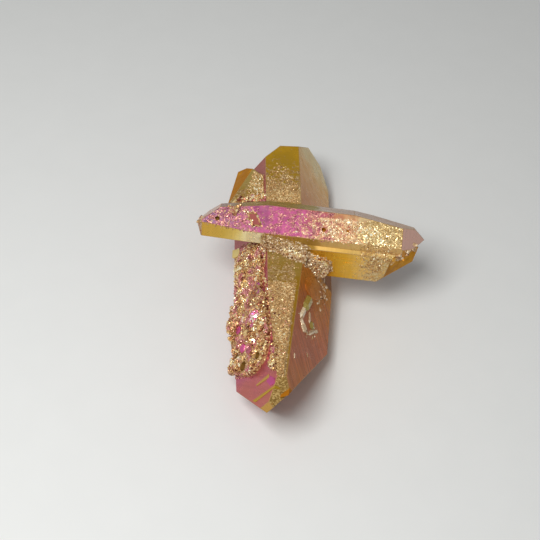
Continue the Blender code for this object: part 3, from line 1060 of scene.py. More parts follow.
CROSSING = Crystal(
    "crossing_crystal", (5.0, 6.0, 15.3), -6.3, 25.0,
    (
        Facet(0, 0, 1.62, Film.AURORA), Facet(60, 0, 1.82, Film.STRAW), Facet(60, -5, 2.56, Film.STRAW),
        Facet(120, 0, 2.08, Film.HONEY), Facet(180, 0, 3.6, Film.ROSE), Facet(240, 0, 5.2, Film.MAUVE),
        Facet(240, 14, 7.6, Film.MAUVE), Facet(240, -12, 6.0, Film.MAUVE), Facet(300, 0, 3.7, Film.ASH),
        Facet(300, 8, 4.7, Film.ASH), Facet(300, -8, 4.47, Film.ASH), Facet(0, RHOMB, 10.5, Film.MAUVE),
        Facet(300, 42, 13.05, Film.MAUVE), Facet(60, RHOMB, 10.8, Film.HONEY),
        Facet(100, 47.5, 12.75, Film.RUST), Facet(180, RHOMB, 12.6, Film.RUST),
        Facet(60, -STEEP, 13.9, Film.CRUST), Facet(300, -RHOMB, 10.1, Film.MAUVE),
        Facet(180, -RHOMB, 10.4, Film.ROSE),
    ),
)
LOWER = Crystal(
    "lower_crystal", (10.0, 4.0, 12.0), -6.3, 25.0,
    (
        Facet(60, 0, 1.23, Film.HONEY), Facet(0, 0, 2.85, Film.SHELF), Facet(120, 0, 2.9, Film.RUST),
        Facet(180, 0, 3.6, Film.AMBER), Facet(240, 0, 3.9, Film.ROSE), Facet(300, 0, 3.0, Film.ASH),
        Facet(70, 45, 6.6, Film.RUST), Facet(100, 36, 6.15, Film.RUST), Facet(0, RHOMB, 11.2, Film.HONEY),
        Facet(240, RHOMB, 10.5, Film.RUST), Facet(60, -RHOMB, 7.0, Film.HONEY),
        Facet(180, -RHOMB, 7.0, Film.AMBER),
    ),
)
SHOULDER = Crystal(
    "shoulder_crystal", (-3.0, 17.0, 8.5), 90.0, 0.0,
    (
        Facet(-15, 0, 3.73, Film.OLIVE), Facet(-43.5, 14.9, 3.77, Film.RUST),
        Facet(-110, 6.3, 1.97, Film.RUST), Facet(180, 0, 4.0, Film.AMBER), Facet(75, 0, 4.5, Film.TAN),
        Facet(75, 40, 4.7, Film.TAN),
        Facet(0, 70, 7.3, Film.TAN), Facet(180, RHOMB, 6.5, Film.AMBER), Facet(0, -STEEP, 5.2, Film.AMBER),
        Facet(240, -STEEP, 4.6, Film.RUST),
    ),
)


@dataclass(frozen=True)
class Face:
    """A face that things grow on: its crystal, where it looks, its reach and its lean to the tip."""

    host: Crystal
    around: float
    reach: float
    lean: float = 0.0

    def level(self) -> Vector:
        """Return the direction from the crystal's axis to the middle of the face."""
        return self.host.normal(self.around, 0.0)

    def outward(self) -> Vector:
        """Return the direction that the face looks in."""
        return self.host.normal(self.around, self.lean)

    def across(self) -> Vector:
        """Return the direction across the face."""
        return self.host.across(self.around)

    def over(self, place: Spot, rise: float = 0.0) -> Vector:
        """Return a point a rise over a place on a face without a lean, in metres."""
        return self.host.spot(self.around, self.reach + rise, place)

    def on(self, place: Spot, sunk: float = 0.0) -> Vector:
        """Find a point on the face.

        Args:
            place: its places along and across the face, in mm.
            sunk: how deep it lies below the face, in mm.

        Returns:
            The point in metres.
        """
        outward, level = self.outward(), self.level()
        point = self.host.spot(self.around, 0.0, place)
        inset = (point - Vector(self.host.centre) * MM).dot(outward)
        return point + level * ((self.reach * MM - inset) / outward.dot(level) - sunk * MM)

    def dress(self, made: Piece, film: Film, coats: Coats) -> None:
        """Give a growth one film, and its points their places along and across the face.

        Args:
            made: the growth.
            film: its film.
            coats: the films' materials.
        """
        for coat in coats:
            made.data.materials.append(coat)
        layer = made.data.uv_layers.get(FACE_MAP) or made.data.uv_layers.new(name=FACE_MAP)
        centre = Vector(self.host.centre) * MM
        along, across = self.host.axes()[0], self.across()
        for polygon in made.data.polygons:
            polygon.material_index = film.value
            for loop in polygon.loop_indices:
                offset = made.data.vertices[made.data.loops[loop].vertex_index].co - centre
                layer.data[loop].uv = (offset.dot(along) / MM, offset.dot(across) / MM)


LONG_TOP = Face(MAIN, 0, 6.6)
LONG_LEFT = Face(MAIN, 300, 6.2)
LONG_RIGHT = Face(MAIN, 60, 5.2)
CRUST_LEFT = Face(MAIN, 300, 7.2)
TIP_LEFT = Face(MAIN, 300, 6.45, -3.5)
TIP_RIGHT = Face(MAIN, 60, 4.75, -7.0)
CROSSING_TOP = Face(CROSSING, 0, 1.62)
CROSSING_FRONT = Face(CROSSING, 60, 1.82)
LOWER_TOP = Face(LOWER, 0, 2.85)
LOWER_FRONT = Face(LOWER, 60, 1.23)
SHOULDER_TOP = Face(SHOULDER, -15, 3.73)


@dataclass(frozen=True)
class Ledge:
    """A low ledge or crust: its name, face, rise and film, and its outline along and across the face."""

    name: str
    face: Face
    rise: float
    film: Film
    outline: Outline

    def build(self, coats: Coats) -> Piece:
        """Draw the outline on its face and raise it.

        Args:
            coats: the films' materials.

        Returns:
            A closed slab with its film.
        """
        start_clean()
        bpy.ops.mesh.primitive_circle_add(vertices=len(self.outline), radius=MM, fill_type='NGON')
        made = bpy.context.object
        made.name = self.name
        for vertex, place in zip(made.data.vertices, self.outline):
            vertex.co = self.face.on(place, ROOT)
        bpy.ops.object.mode_set(mode='EDIT')
        bpy.ops.mesh.select_all(action='SELECT')
        bpy.ops.mesh.extrude_region_move(
            TRANSFORM_OT_translate={"value": self.face.level() * ((ROOT + self.rise) * MM)})
        bpy.ops.mesh.select_all(action='SELECT')
        bpy.ops.mesh.normals_make_consistent(inside=False)
        bpy.ops.object.mode_set(mode='OBJECT')
        self.face.dress(made, self.film, coats)
        return made


class Top(Enum):
    """How a larger crystal ends: in a point, in a flat face, or in one that mirrors the lamp."""

    POINT = "point"
    FLAT = "flat"
    MIRROR = "mirror"


@dataclass(frozen=True)
class Growth:
    """One larger crystal: how far from the axis and where it stands, its sizes, tilt, film and top."""

    reach: float
    place: Spot
    width: float
    height: float
    tilt: Spot                   # its lean along and across the face, in degrees
    film: Film
    top: Top = Top.POINT
    face: Face = LONG_LEFT
    narrowing: float = 0.92      # width of the shaft's end as a share of its foot's
    worn: float = 0.15           # bevel of a flat top, and shift of a point, as a share of the radius
    sharpness: float = 0.12      # what is left of the shaft's end at the point
    tip: float = 1.2             # height of the point at most, as a share of the radius

    def build(self, coats: Coats) -> Piece:
        """Model a six-sided shaft with its top, and set it on its face.

        Args:
            coats: the films' materials.

        Returns:
            The crystal with its film.
        """
        start_clean()
        radius = 0.5 * self.width
        tip = min(self.height, self.tip * radius)
        shaft = ROOT + self.height - tip
        bpy.ops.mesh.primitive_cone_add(
            vertices=6, radius1=radius * MM, radius2=radius * self.narrowing * MM, depth=shaft * MM,
            location=(0.0, 0.0, (shaft / 2 - ROOT) * MM))
        made = bpy.context.object
        place_in_mesh(made)
        edit_faces(made, faces_up)
        if self.top is not Top.POINT:
            bpy.ops.mesh.bevel(offset=self.worn * radius * MM, segments=1, affect='EDGES')
        else:
            bpy.ops.mesh.extrude_region_move(
                TRANSFORM_OT_translate={"value": (self.worn * radius * MM, 0.0, tip * MM)})
            bpy.ops.transform.resize(value=(self.sharpness, self.sharpness, 1.0))
        bpy.ops.object.mode_set(mode='OBJECT')
        along, across = (math.tan(math.radians(angle)) for angle in self.tilt)
        lean = self.face.host.axes()[0] * along + self.face.across() * across
        direction = SHINE if self.top is Top.MIRROR else (self.face.level() + lean).normalized()
        stand(made, self.face.host.spot(self.face.around, self.reach, self.place), direction)
        self.face.dress(made, self.film, coats)
        return made


@dataclass(frozen=True)
class Mound:
    """A rounded swelling: how far from the axis and where it lies, its length, breadth and height."""

    reach: float
    place: Spot
    size: tuple[float, float, float]
    turn: float                  # of its length from the crystal's axis, in degrees
    film: Film = Film.CRUST
    face: Face = LONG_LEFT
    foot: float = -0.2           # where the ball is cut, as a share of its width
    sides: int = 14              # of the ball
    rings: int = 9

    def build(self, coats: Coats) -> Piece:
        """Model a faceted dome, its lower half sunk in the face.

        Args:
            coats: the films' materials.

        Returns:
            The dome with its film.
        """
        start_clean()
        bpy.ops.mesh.primitive_uv_sphere_add(segments=self.sides, ring_count=self.rings, radius=0.5)
        made = bpy.context.object
        bpy.ops.object.mode_set(mode='EDIT')
        bpy.ops.mesh.select_all(action='SELECT')
        bpy.ops.mesh.bisect(
            plane_co=(0, 0, self.foot), plane_no=(0, 0, -1), use_fill=True, clear_outer=True)
        bpy.ops.object.mode_set(mode='OBJECT')
        length, breadth, height = self.size
        made.scale = (length * MM, breadth * MM, 2 * height * MM)
        place_in_mesh(made)
        host, outward, turn = self.face.host, self.face.outward(), math.radians(self.turn)
        along = host.normal(self.face.around, self.face.lean + 90.0)
        lengthways = math.cos(turn) * along + math.sin(turn) * self.face.across()
        axes = Matrix((lengthways, outward.cross(lengthways), outward)).transposed().to_4x4()
        foot = host.spot(self.face.around, self.reach, self.place)
        made.matrix_world = Matrix.Translation(foot) @ axes
        place_in_mesh(made)
        self.face.dress(made, self.film, coats)
        return made


@dataclass(frozen=True)
class Pit:
    """A six-sided hollow in a face: its place, mouth width and depth, and its film."""

    face: Face
    place: Spot
    width: float
    depth: float
    # a pit's usual film is painted shade
    film: Film = Film.HOLLOW
    clearance: float = 1.0       # how far its tool stands out of the face, in mm

    def build(self, coats: Coats) -> Piece:
        """Model the tapered tool that cuts the pit.

        Args:
            coats: the films' materials.

        Returns:
            The tool, which gives the pit its film.
        """
        start_clean()
        foot = 0.25 * self.width
        mouth = 2 * foot * (1 + self.clearance / (2 * self.depth))
        bpy.ops.mesh.primitive_cone_add(
            vertices=6, radius1=mouth * MM, radius2=foot * MM, depth=(self.depth + self.clearance) * MM,
            location=(0.0, 0.0, (self.depth - self.clearance) / 2 * MM))
        made = bpy.context.object
        place_in_mesh(made)
        stand(made, self.face.over(self.place), -self.face.level())
        self.face.dress(made, self.film, coats)
        return made


@dataclass(frozen=True)
class CoatedCrystals:
    """The smooth body: four crystals grown together, with their ledges, growths and pits."""

    name: str = "coated_crystals"
    hosts: tuple[Crystal, ...] = (MAIN, CROSSING, LOWER, SHOULDER)
    ledges: tuple[Ledge, ...] = (
        Ledge("crust_upper", LONG_LEFT, 0.55, Film.CRUST, ((9.4, -4.2), (7.0, 2.6), (2.6, 2.9), (-2.9, 2.7),
            (-5.4, -1.0), (-4.2, -4.4))),
        Ledge("crust_lower", TIP_LEFT, 0.65, Film.CRUST, ((-1.2, -5.2), (-3.4, -1.6), (-1.8, 2.4),
            (-4.6, 3.6), (-7.2, 3.8), (-11.4, 4.0), (-13.8, 3.2), (-15.0, 2.2), (-15.6, 1.0), (-15.9, -0.5),
            (-15.3, -2.5), (-13.9, -4.8), (-8.0, -5.4))),
        Ledge("right_of_swoosh", TIP_LEFT, 0.3, Film.CRUST, ((-13.2, 4.5), (-15.6, 3.6), (-16.4, 2.8),
            (-17.6, 3.6), (-18.0, 4.6), (-14.0, 4.9))),
        Ledge("ridge_step", LONG_TOP, 0.22, Film.OLIVE, ((-6.9, -3.1), (-7.4, -1.6), (-6.7, -0.6),
            (-7.2, 0.1), (-13.0, -0.7), (-18.6, -1.4), (-18.9, -2.2), (-12.0, -2.7))),
        Ledge("saddle_left", LONG_TOP, 0.5, Film.CRUST, ((6.4, -4.3), (4.5, -4.4), (4.1, -3.4), (3.4, -1.5),
            (2.1, 0.9), (1.9, 2.4), (3.4, 2.5), (4.3, 1.7), (5.7, -1.3))),
        Ledge("saddle_right", LOWER_FRONT, 0.7, Film.CRUST, ((-1.5, -1.0), (-0.7, -0.3), (-0.4, 1.0),
            (-1.4, 2.4), (-2.7, 2.5), (-3.6, 1.6), (-4.4, 0.4), (-4.8, -1.9), (-3.2, -1.3))),
        Ledge("front_step", LOWER_FRONT, 0.04, Film.HONEY, ((0.2, -1.5), (2.9, -1.5), (3.1, 1.9),
            (0.3, 1.8))),
        Ledge("front_inset", LOWER_FRONT, 0.09, Film.HONEY, ((1.4, -0.7), (2.8, -0.8), (2.9, 1.2),
            (1.5, 1.2))),
        Ledge("end_step", CROSSING_TOP, 0.2, Film.AURORA, ((8.4, -2.0), (14.2, -1.7), (14.4, 0.9),
            (9.6, 1.1), (7.6, -0.2))),
        Ledge("tip_stripe_low", TIP_LEFT, 0.06, Film.LEMON, ((-20.3, -1.0), (-19.7, -1.7), (-20.2, 3.9),
            (-20.5, 3.9))),
        Ledge("tip_stripe_high", TIP_LEFT, 0.06, Film.LEMON, ((-18.0, -0.4), (-17.7, -0.5), (-17.7, 2.7),
            (-18.3, 2.8))),
        Ledge("magenta_step", TIP_LEFT, 0.04, Film.MAGENTA, ((-18.0, 2.8), (-19.0, 3.9), (-19.9, 3.9),
            (-19.7, 2.8), (-18.5, 2.0))),
        Ledge("tan_step", LONG_LEFT, 0.7, Film.SHELF, ((9.9, -4.7), (8.8, -2.7), (7.2, -2.6), (8.4, -4.8))),
        Ledge("orange_step", TIP_RIGHT, 0.05, Film.RUST, ((-20.2, -5.1), (-20.3, -4.3), (-21.6, -5.3))),
        Ledge("recess_rim", CROSSING_TOP, 0.16, Film.CRUST, ((-8.9, -1.85), (-7.3, -1.9), (-6.2, 0.2),
            (-7.8, 0.3))),
        Ledge("recess_floor", CROSSING_TOP, 0.2, Film.MOUND, ((-8.5, -1.6), (-7.5, -1.6), (-6.6, -0.05),
            (-7.6, 0.05))),
    )
    growths: tuple[Growth, ...] = (
        Growth(5.6, (-4.4, -4.9), 3.0, 1.6, (12, -10), Film.CRUST),
        Growth(5.4, (-7.0, -5.0), 2.6, 1.6, (-8, -16), Film.CRUST),
        Growth(5.6, (-11.2, -4.6), 2.8, 1.5, (-10, -12), Film.CRUST),
        Growth(5.8, (-13.0, -4.2), 2.2, 1.3, (-14, 8), Film.CRUST),
        Growth(6.2, (-8.0, 1.2), 2.6, 1.3, (8, 6), Film.MAGENTA),
        Growth(6.0, (4.2, -2.4), 2.0, 1.3, (-6, 14), Film.CRUST),
        Growth(5.2, (12.6, -8.4), 2.2, 1.6, (-10, -14), Film.RUST, face=LONG_TOP),
        Growth(6.2, (4.6, -3.6), 1.9, 1.3, (-14, -6), Film.TAN, face=LONG_TOP),
        Growth(1.4, (-2.4, 0.6), 2.0, 1.2, (6, 12), Film.TAN, face=LOWER_FRONT),
        Growth(2.9, (-10.4, 0.6), 0.8, 0.45, (10, 0), Film.CRUST, face=Face(CROSSING, 300, 3.7)),
        Growth(1.0, (15.2, 1.2), 1.1, 1.1, (20, 10), Film.HONEY, face=CROSSING_FRONT),
        Growth(2.4, (8.8, -0.2), 0.9, 0.8, (16, -8), Film.HONEY, face=LOWER_TOP),
        Growth(1.5, (-10.7, -1.7), 0.8, 0.5, (0, 10), Film.MAGENTA, face=CROSSING_TOP),
        Growth(6.6, (5.2, -0.5), 0.9, 0.4, (0, 0), Film.GLINT, Top.MIRROR),
        Growth(6.6, (4.9, -3.7), 1.0, 0.4, (0, 0), Film.GLINT, Top.MIRROR),
        Growth(6.9, (-7.6, 1.6), 0.9, 0.4, (0, 0), Film.GLINT, Top.MIRROR),
        Growth(6.6, (-11.0, 0.6), 0.7, 0.4, (0, 0), Film.GLINT, Top.MIRROR),
        Growth(1.7, (11.0, -1.2), 0.6, 0.3, (0, 0), Film.GLINT, Top.MIRROR, face=CROSSING_TOP),
        Growth(1.7, (8.6, 0.1), 0.6, 0.3, (0, 0), Film.GLINT, Top.MIRROR, face=CROSSING_TOP),
        Growth(1.9, (-3.6, -0.2), 0.7, 0.4, (0, 0), Film.GLINT, Top.MIRROR, face=LOWER_FRONT),
        Growth(6.9, (-1.9, 2.2), 1.1, 0.4, (0, 4), Film.MAGENTA, Top.FLAT),
        Growth(6.9, (-3.1, 2.3), 1.4, 0.4, (3, -4), Film.MAGENTA, Top.FLAT),
        Growth(6.9, (-3.0, 0.4), 1.0, 0.4, (-5, 6), Film.MAGENTA, Top.FLAT),
        Growth(6.8, (-4.8, -1.7), 1.0, 0.4, (4, 0), Film.MAGENTA, Top.FLAT),
        Growth(6.8, (-6.8, -3.3), 1.6, 0.5, (0, -8), Film.MAGENTA, Top.FLAT),
        Growth(6.6, (-10.6, -2.4), 1.7, 0.55, (-6, -2), Film.MAGENTA, Top.FLAT),
        Growth(6.9, (-7.0, 1.1), 1.2, 0.35, (-10, 10), Film.MAGENTA, Top.MIRROR),
    )
    mounds: tuple[Mound, ...] = (
        Mound(4.79, (-0.1, -0.3), (6.6, 3.8, 0.3), 59, Film.AMBER, TIP_RIGHT),
        Mound(6.6, (5.6, 1.0), (3.0, 2.4, 0.7), 20),
        Mound(6.6, (3.0, -2.2), (2.8, 2.0, 0.8), -30),
        Mound(6.6, (0.4, 0.6), (2.6, 2.2, 0.6), 40),
        Mound(6.6, (-1.6, -2.6), (2.4, 2.0, 0.8), 10),
        Mound(6.8, (-5.6, 2.6), (2.4, 2.0, 0.7), -20),
        Mound(6.7, (-5.2, -4.2), (3.6, 2.6, 1.1), 60),
        Mound(6.6, (-9.4, 2.6), (3.2, 1.8, 0.8), 15),
        Mound(6.5, (-9.0, -1.4), (2.2, 1.8, 0.7), -40),
        Mound(6.3, (-12.2, 2.7), (2.4, 1.8, 0.9), 35),
        Mound(6.2, (-11.9, -0.5), (2.2, 1.6, 0.9), -15),
        Mound(6.0, (-14.9, -0.6), (2.0, 2.4, 0.9), 0),
        Mound(6.1, (-12.4, -5.0), (3.2, 1.8, 0.9), 80),
    )
    pits: tuple[Pit, ...] = (
        Pit(CROSSING_TOP, (3.0, -0.5), 0.75, 0.7, Film.RUST),
        Pit(CROSSING_TOP, (6.6, -0.7), 0.45, 0.4, Film.RUST),
        Pit(CRUST_LEFT, (-13.6, -2.6), 2.3, 1.6),
        Pit(CRUST_LEFT, (-13.9, 1.1), 1.8, 1.4),
        Pit(CRUST_LEFT, (-11.0, -4.0), 1.2, 0.9),
        Pit(CROSSING_TOP, (-13.1, -0.3), 0.8, 0.4),
    )

    def build(self, effects: SharedEffects) -> Piece:
        """Join the crystals and their growths, cut the pits, hang the body on the root and hide the import.

        Args:
            effects: the shared node groups.

        Returns:
            The body, one closed mesh.
        """
        quartz = QuartzInside()
        coats = [FILMS[film].material(effects, quartz) for film in Film]
        body = self.hosts[0].build(coats)
        for grown in (*self.hosts[1:], *self.ledges, *self.mounds, *self.growths):
            join_solids(body, grown.build(coats), 'UNION')
        for pit in self.pits:
            join_solids(body, pit.build(coats), 'DIFFERENCE')
        body.name = self.name
        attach(body, BODY)
        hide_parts(NODE)
        return body


# ---------------- small crystals


class Mould(Enum):
    """The shapes that small crystals are copied from."""

    POINT = "point"
    CHIP = "chip"
    TOOTH = "tooth"


Shape = tuple[np.ndarray, list[tuple[int, ...]]]    # points and faces


class MouldBox:
    """The small crystals' shapes, modelled once at a size of one and read as arrays."""

    def __init__(self) -> None:
        """Model each mould and keep its points and faces."""
        self.shapes = {
            Mould.POINT: self._read(self._point(), extruded=True),
            Mould.CHIP: self._read(self._chip()),
            Mould.TOOTH: self._read(self._tooth()),
        }

    @staticmethod
    def _read(piece: Piece, extruded: bool = False) -> Shape:
        """Read a mould's points and faces, and remove it.

        Args:
            piece: the mould.
            extruded: whether it has extruded faces, which need a settled order.

        Returns:
            Its points and faces.
        """
        points = np.array([vertex.co for vertex in piece.data.vertices])
        order = settled_faces(piece) if extruded else range(len(piece.data.polygons))
        faces = [tuple(piece.data.polygons[number].vertices) for number in order]
        bpy.data.objects.remove(piece, do_unlink=True)
        return points, faces

    @staticmethod
    def _point() -> Piece:
        """Model a six-sided crystal with an off-centre point, its foot below the origin.

        Returns:
            The mould.
        """
        start_clean()
        bpy.ops.mesh.primitive_cone_add(
            vertices=6, radius1=0.5, radius2=0.44, depth=0.8, location=(0, 0, 0.1))
        made = bpy.context.object
        place_in_mesh(made)
        edit_faces(made, faces_up)
        bpy.ops.mesh.extrude_region_move(TRANSFORM_OT_translate={"value": (0.08, 0.03, 0.5)})
        bpy.ops.mesh.merge(type='CENTER')
        bpy.ops.object.mode_set(mode='OBJECT')
        return made

    @staticmethod
    def _chip() -> Piece:
        """Model a blocky crystal whose top is cut by three slanting faces.

        Returns:
            The mould.
        """
        start_clean()
        bpy.ops.mesh.primitive_cube_add(size=1.0, location=(0, 0, 0.2))
        made = bpy.context.object
        place_in_mesh(made)
        bpy.ops.object.mode_set(mode='EDIT')
        cuts = (((0.1, 0.0, 0.45), (0.55, 0.2, 0.8)), ((-0.2, 0.1, 0.5), (-0.7, 0.45, 0.55)),
                ((0.0, -0.2, 0.4), (0.1, -0.8, 0.6)))
        for place, outward in cuts:
            bpy.ops.mesh.select_all(action='SELECT')
            bpy.ops.mesh.bisect(plane_co=place, plane_no=outward, use_fill=True, clear_outer=True)
        bpy.ops.mesh.select_all(action='SELECT')
        bpy.ops.mesh.normals_make_consistent(inside=False)
        bpy.ops.object.mode_set(mode='OBJECT')
        return made

    @staticmethod
    def _tooth() -> Piece:
        """Model a four-sided tooth that leans to one side.

        Returns:
            The mould.
        """
        start_clean()
        bpy.ops.mesh.primitive_cone_add(
            vertices=4, radius1=0.62, radius2=0.0, depth=1.0, location=(0, 0, 0.2))
        made = bpy.context.object
        place_in_mesh(made)
        top = max(made.data.vertices, key=lambda vertex: vertex.co.z)
        top.co.x += 0.22
        return made


ROW_STEP = 0.866                 # distance between rows as a share of that between neighbours
WANDER = 0.45                    # how far a crystal strays from its row, as a share of the spacing
FADE_POWER = 1.3                 # how suddenly a thinning field ends
LOOK_FROM = 2.6                  # how far over a face the ground is looked for, in mm
STEEPEST = 0.35                  # likeness of ground and face below which nothing grows
SLENDER = (0.75, 1.25)           # how much longer than broad a small crystal may be
TONE_SPREAD = 0.18               # how much the tone varies between one small crystal's faces
LYING_TURN = 0.12                # how much of a turn a drawn-out crystal keeps


@dataclass(frozen=True)
class Sowing:
    """A field of small crystals on a face: its outline, spacing, sizes, tilt and finish."""

    face: Face
    outline: Outline
    spacing: float               # distance between neighbours
    width: Spot                  # smallest and largest width
    tallness: Spot               # height as a share of the width
    splay: float                 # how far a crystal tilts from the face, at most, in degrees
    finish: GrainFinish
    seed: int
    cover: float = 1.0           # share of the places that are filled
    drawn_out: float = 1.0       # how much longer a crystal is across the face than along it
    thin: Spot | None = None     # places along the face where the field begins and is full
    bare: tuple[tuple[float, float, float], ...] = ()   # places left bare: along, across, radius

    def places(self, dice: np.random.Generator) -> np.ndarray:
        """Scatter the field's crystals.

        Args:
            dice: the field's own source of chance.

        Returns:
            Their places along and across the face, one row each.
        """
        outline = np.array(self.outline)
        low, high = outline.min(0), outline.max(0)
        rows = np.arange(low[0], high[0], self.spacing * ROW_STEP)
        columns = np.arange(low[1], high[1], self.spacing)
        grid = np.stack(np.meshgrid(rows, columns, indexing="ij"), -1)
        grid[1::2, :, 1] += self.spacing / 2
        spots = grid.reshape(-1, 2)
        spots = spots + dice.uniform(-WANDER, WANDER, spots.shape) * self.spacing
        chance = np.full(len(spots), self.cover)
        if self.thin:
            begin, full = self.thin
            chance *= np.clip((spots[:, 0] - begin) / (full - begin), 0.0, 1.0) ** FADE_POWER
        keep = in_outline(outline, spots) & (dice.random(len(spots)) < chance)
        for along, across, radius in self.bare:
            keep &= np.hypot(spots[:, 0] - along, spots[:, 1] - across) > radius
        return spots[keep]


@dataclass(frozen=True)
class Druse:
    """One piece made of many small crystals, sown in fields on the body."""

    name: str
    sowings: tuple[Sowing, ...]

    def build(self, ground: BVHTree, moulds: MouldBox) -> Piece:
        """Sow every field and join its crystals in one mesh.

        Args:
            ground: the body that the crystals grow on.
            moulds: their shapes.

        Returns:
            The piece, with a material index for each field and a tone for each face.
        """
        points, faces, slots, tones = [], [], [], []
        count = 0
        for slot, sowing in enumerate(self.sowings):
            dice = np.random.default_rng(sowing.seed)
            for grain, shape_faces in self._grow(sowing, ground, moulds, dice):
                tone = dice.random()
                points.append(grain)
                for face in shape_faces:
                    faces.append(tuple(count + index for index in face))
                    slots.append(slot)
                    tones.append(min(1.0, max(0.0, tone + dice.uniform(-TONE_SPREAD, TONE_SPREAD))))
                count += len(grain)
        mesh = bpy.data.meshes.new(self.name)
        mesh.from_pydata(np.concatenate(points).tolist(), [], faces)
        mesh.polygons.foreach_set("material_index", slots)
        mesh.attributes.new(TONE, 'FLOAT', 'FACE').data.foreach_set("value", tones)
        mesh.update()
        made = bpy.data.objects.new(self.name, mesh)
        bpy.context.scene.collection.objects.link(made)
        return made

    @staticmethod
    def _grow(sowing: Sowing, ground: BVHTree, moulds: MouldBox,
              dice: np.random.Generator) -> Iterator[Shape]:
        """Stand a field's crystals on the ground below their places.

        Args:
            sowing: the field.
            ground: the body that they grow on.
            moulds: their shapes.
            dice: the field's own source of chance.

        Returns:
            Each crystal's points and faces, one crystal after the other.
        """
        kinds = list(Mould)
        outward = sowing.face.level()
        for place in sowing.places(dice):
            above = sowing.face.over(tuple(place), LOOK_FROM)
            foot, ground_normal, _, _ = ground.ray_cast(above, -outward)
            width = dice.uniform(*sowing.width)
            height = width * dice.uniform(*sowing.tallness)
            bearing, spin = dice.uniform(0.0, math.tau, 2)
            lean = math.tan(math.radians(dice.uniform(0.0, sowing.splay)))
            kind = kinds[dice.integers(len(kinds))]
            stretch = dice.uniform(*SLENDER)
            if foot is None or ground_normal.dot(outward) < STEEPEST:
                continue
            side = ground_normal.orthogonal().normalized()
            other = ground_normal.cross(side)
            aside = math.cos(bearing) * side + math.sin(bearing) * other
            direction = (ground_normal + lean * aside).normalized()
            if sowing.drawn_out > 1.0:
                front = direction.cross(sowing.face.across()).normalized()
                turned = Matrix((direction.cross(front), front, direction)).transposed()
                spin = LYING_TURN * (spin - math.pi)
                stretch = math.sqrt(sowing.drawn_out)
            else:
                turned = direction.to_track_quat('Z', 'Y').to_matrix()
            turn = np.array(turned @ Matrix.Rotation(spin, 3, 'Z'))
            shape, shape_faces = moulds.shapes[kind]
            sized = shape * (width * stretch * MM, width / stretch * MM, height * MM)
            yield sized @ turn.T + np.array(foot), shape_faces

    def dress(self, piece: Piece, effects: SharedEffects) -> None:
        """Give each field its film and let the piece ride on the cluster.

        Args:
            piece: the druse.
            effects: the shared node groups.
        """
        for sowing in self.sowings:
            piece.data.materials.append(shared_material(sowing.finish, effects))
        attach(piece, BODY)


CRUST_BARE = (
    (-1.9, 2.4, 0.75), (-3.2, 2.5, 0.9), (-3.1, 0.4, 0.7), (-5.0, -1.7, 0.7), (-7.0, -3.3, 1.0),
    (-10.8, -2.4, 1.1), (-13.6, -2.6, 1.05), (-13.9, 1.1, 0.85), (-11.0, -4.0, 0.6), (8.6, -3.8, 1.25),
    (-8.6, -4.8, 0.8), (-7.2, 1.2, 0.9),
)
LEFT_OUTLINE = ((9.0, -4.5), (7.4, 3.7), (2.6, 3.6), (0.9, 3.1), (-0.6, 3.3), (-2.0, 3.9), (-4.6, 4.0),
                (-7.2, 4.0), (-11.4, 4.1), (-13.8, 3.2), (-15.0, 2.2), (-15.6, 1.0), (-15.9, -0.5),
                (-15.3, -2.5), (-13.9, -5.6), (-4.0, -6.4), (-2.6, -5.6), (-2.0, -4.7))
INNER_OUTLINE = ((8.6, -3.6), (7.0, 3.0), (-2.0, 3.2), (-7.2, 3.3), (-11.4, 3.4), (-14.2, 2.2),
                 (-15.0, -0.5), (-14.6, -2.5), (-13.4, -4.8), (-4.0, -5.6), (-2.0, -4.0))
TAN_BARE = ((8.6, -3.9, 1.15),)
LEFT_DRUSE = Druse("left_crust_druse", (
    Sowing(LONG_LEFT, LEFT_OUTLINE, 0.24, (0.17, 0.38), (0.3, 0.8), 50.0, CRUST_GRAINS, 31, cover=0.88,
        bare=CRUST_BARE),
    Sowing(LONG_LEFT, INNER_OUTLINE, 0.9, (0.4, 0.85), (0.25, 0.6), 46.0, CRUST_GRAINS, 32, cover=0.45,
        bare=CRUST_BARE),
    Sowing(LONG_LEFT, ((-13.0, 4.6), (-15.4, 3.7), (-16.3, 3.0), (-17.6, 3.6), (-18.2, 4.6), (-14.0, 5.0)),
        0.26, (0.2, 0.44), (0.3, 0.8), 48.0, CRUST_GRAINS, 33),
    Sowing(LONG_LEFT, ((8.0, -5.3), (8.0, -4.4), (-2.0, -4.6), (-2.0, -5.3)), 0.28, (0.16, 0.32),
        (0.2, 0.5), 35.0, CRUST_GRAINS, 34, cover=0.7),
    Sowing(Face(MAIN, 300, 6.5), ((-5.8, 0.4), (-6.2, 2.2), (-8.2, 2.4), (-8.8, 1.2), (-8.4, 0.0),
        (-6.8, -0.2)), 0.34, (0.3, 0.62), (0.35, 0.8), 55.0, ROSY_GRAINS, 35),
    Sowing(LONG_LEFT, ((6.6, -5.0), (5.0, 0.6), (4.2, 0.4), (4.0, -4.8)), 0.5, (0.4, 0.8), (0.4, 0.9), 55.0,
        CREAM_HIGHLIGHT_GRAINS, 36, cover=0.4),
    Sowing(LONG_LEFT, ((10.4, -4.5), (9.8, -2.4), (7.8, 1.2), (7.4, 3.6), (6.6, 3.4), (8.0, -4.5)), 0.25,
        (0.17, 0.4), (0.3, 0.8), 50.0, CRUST_GRAINS, 37, cover=0.85, bare=TAN_BARE),
))
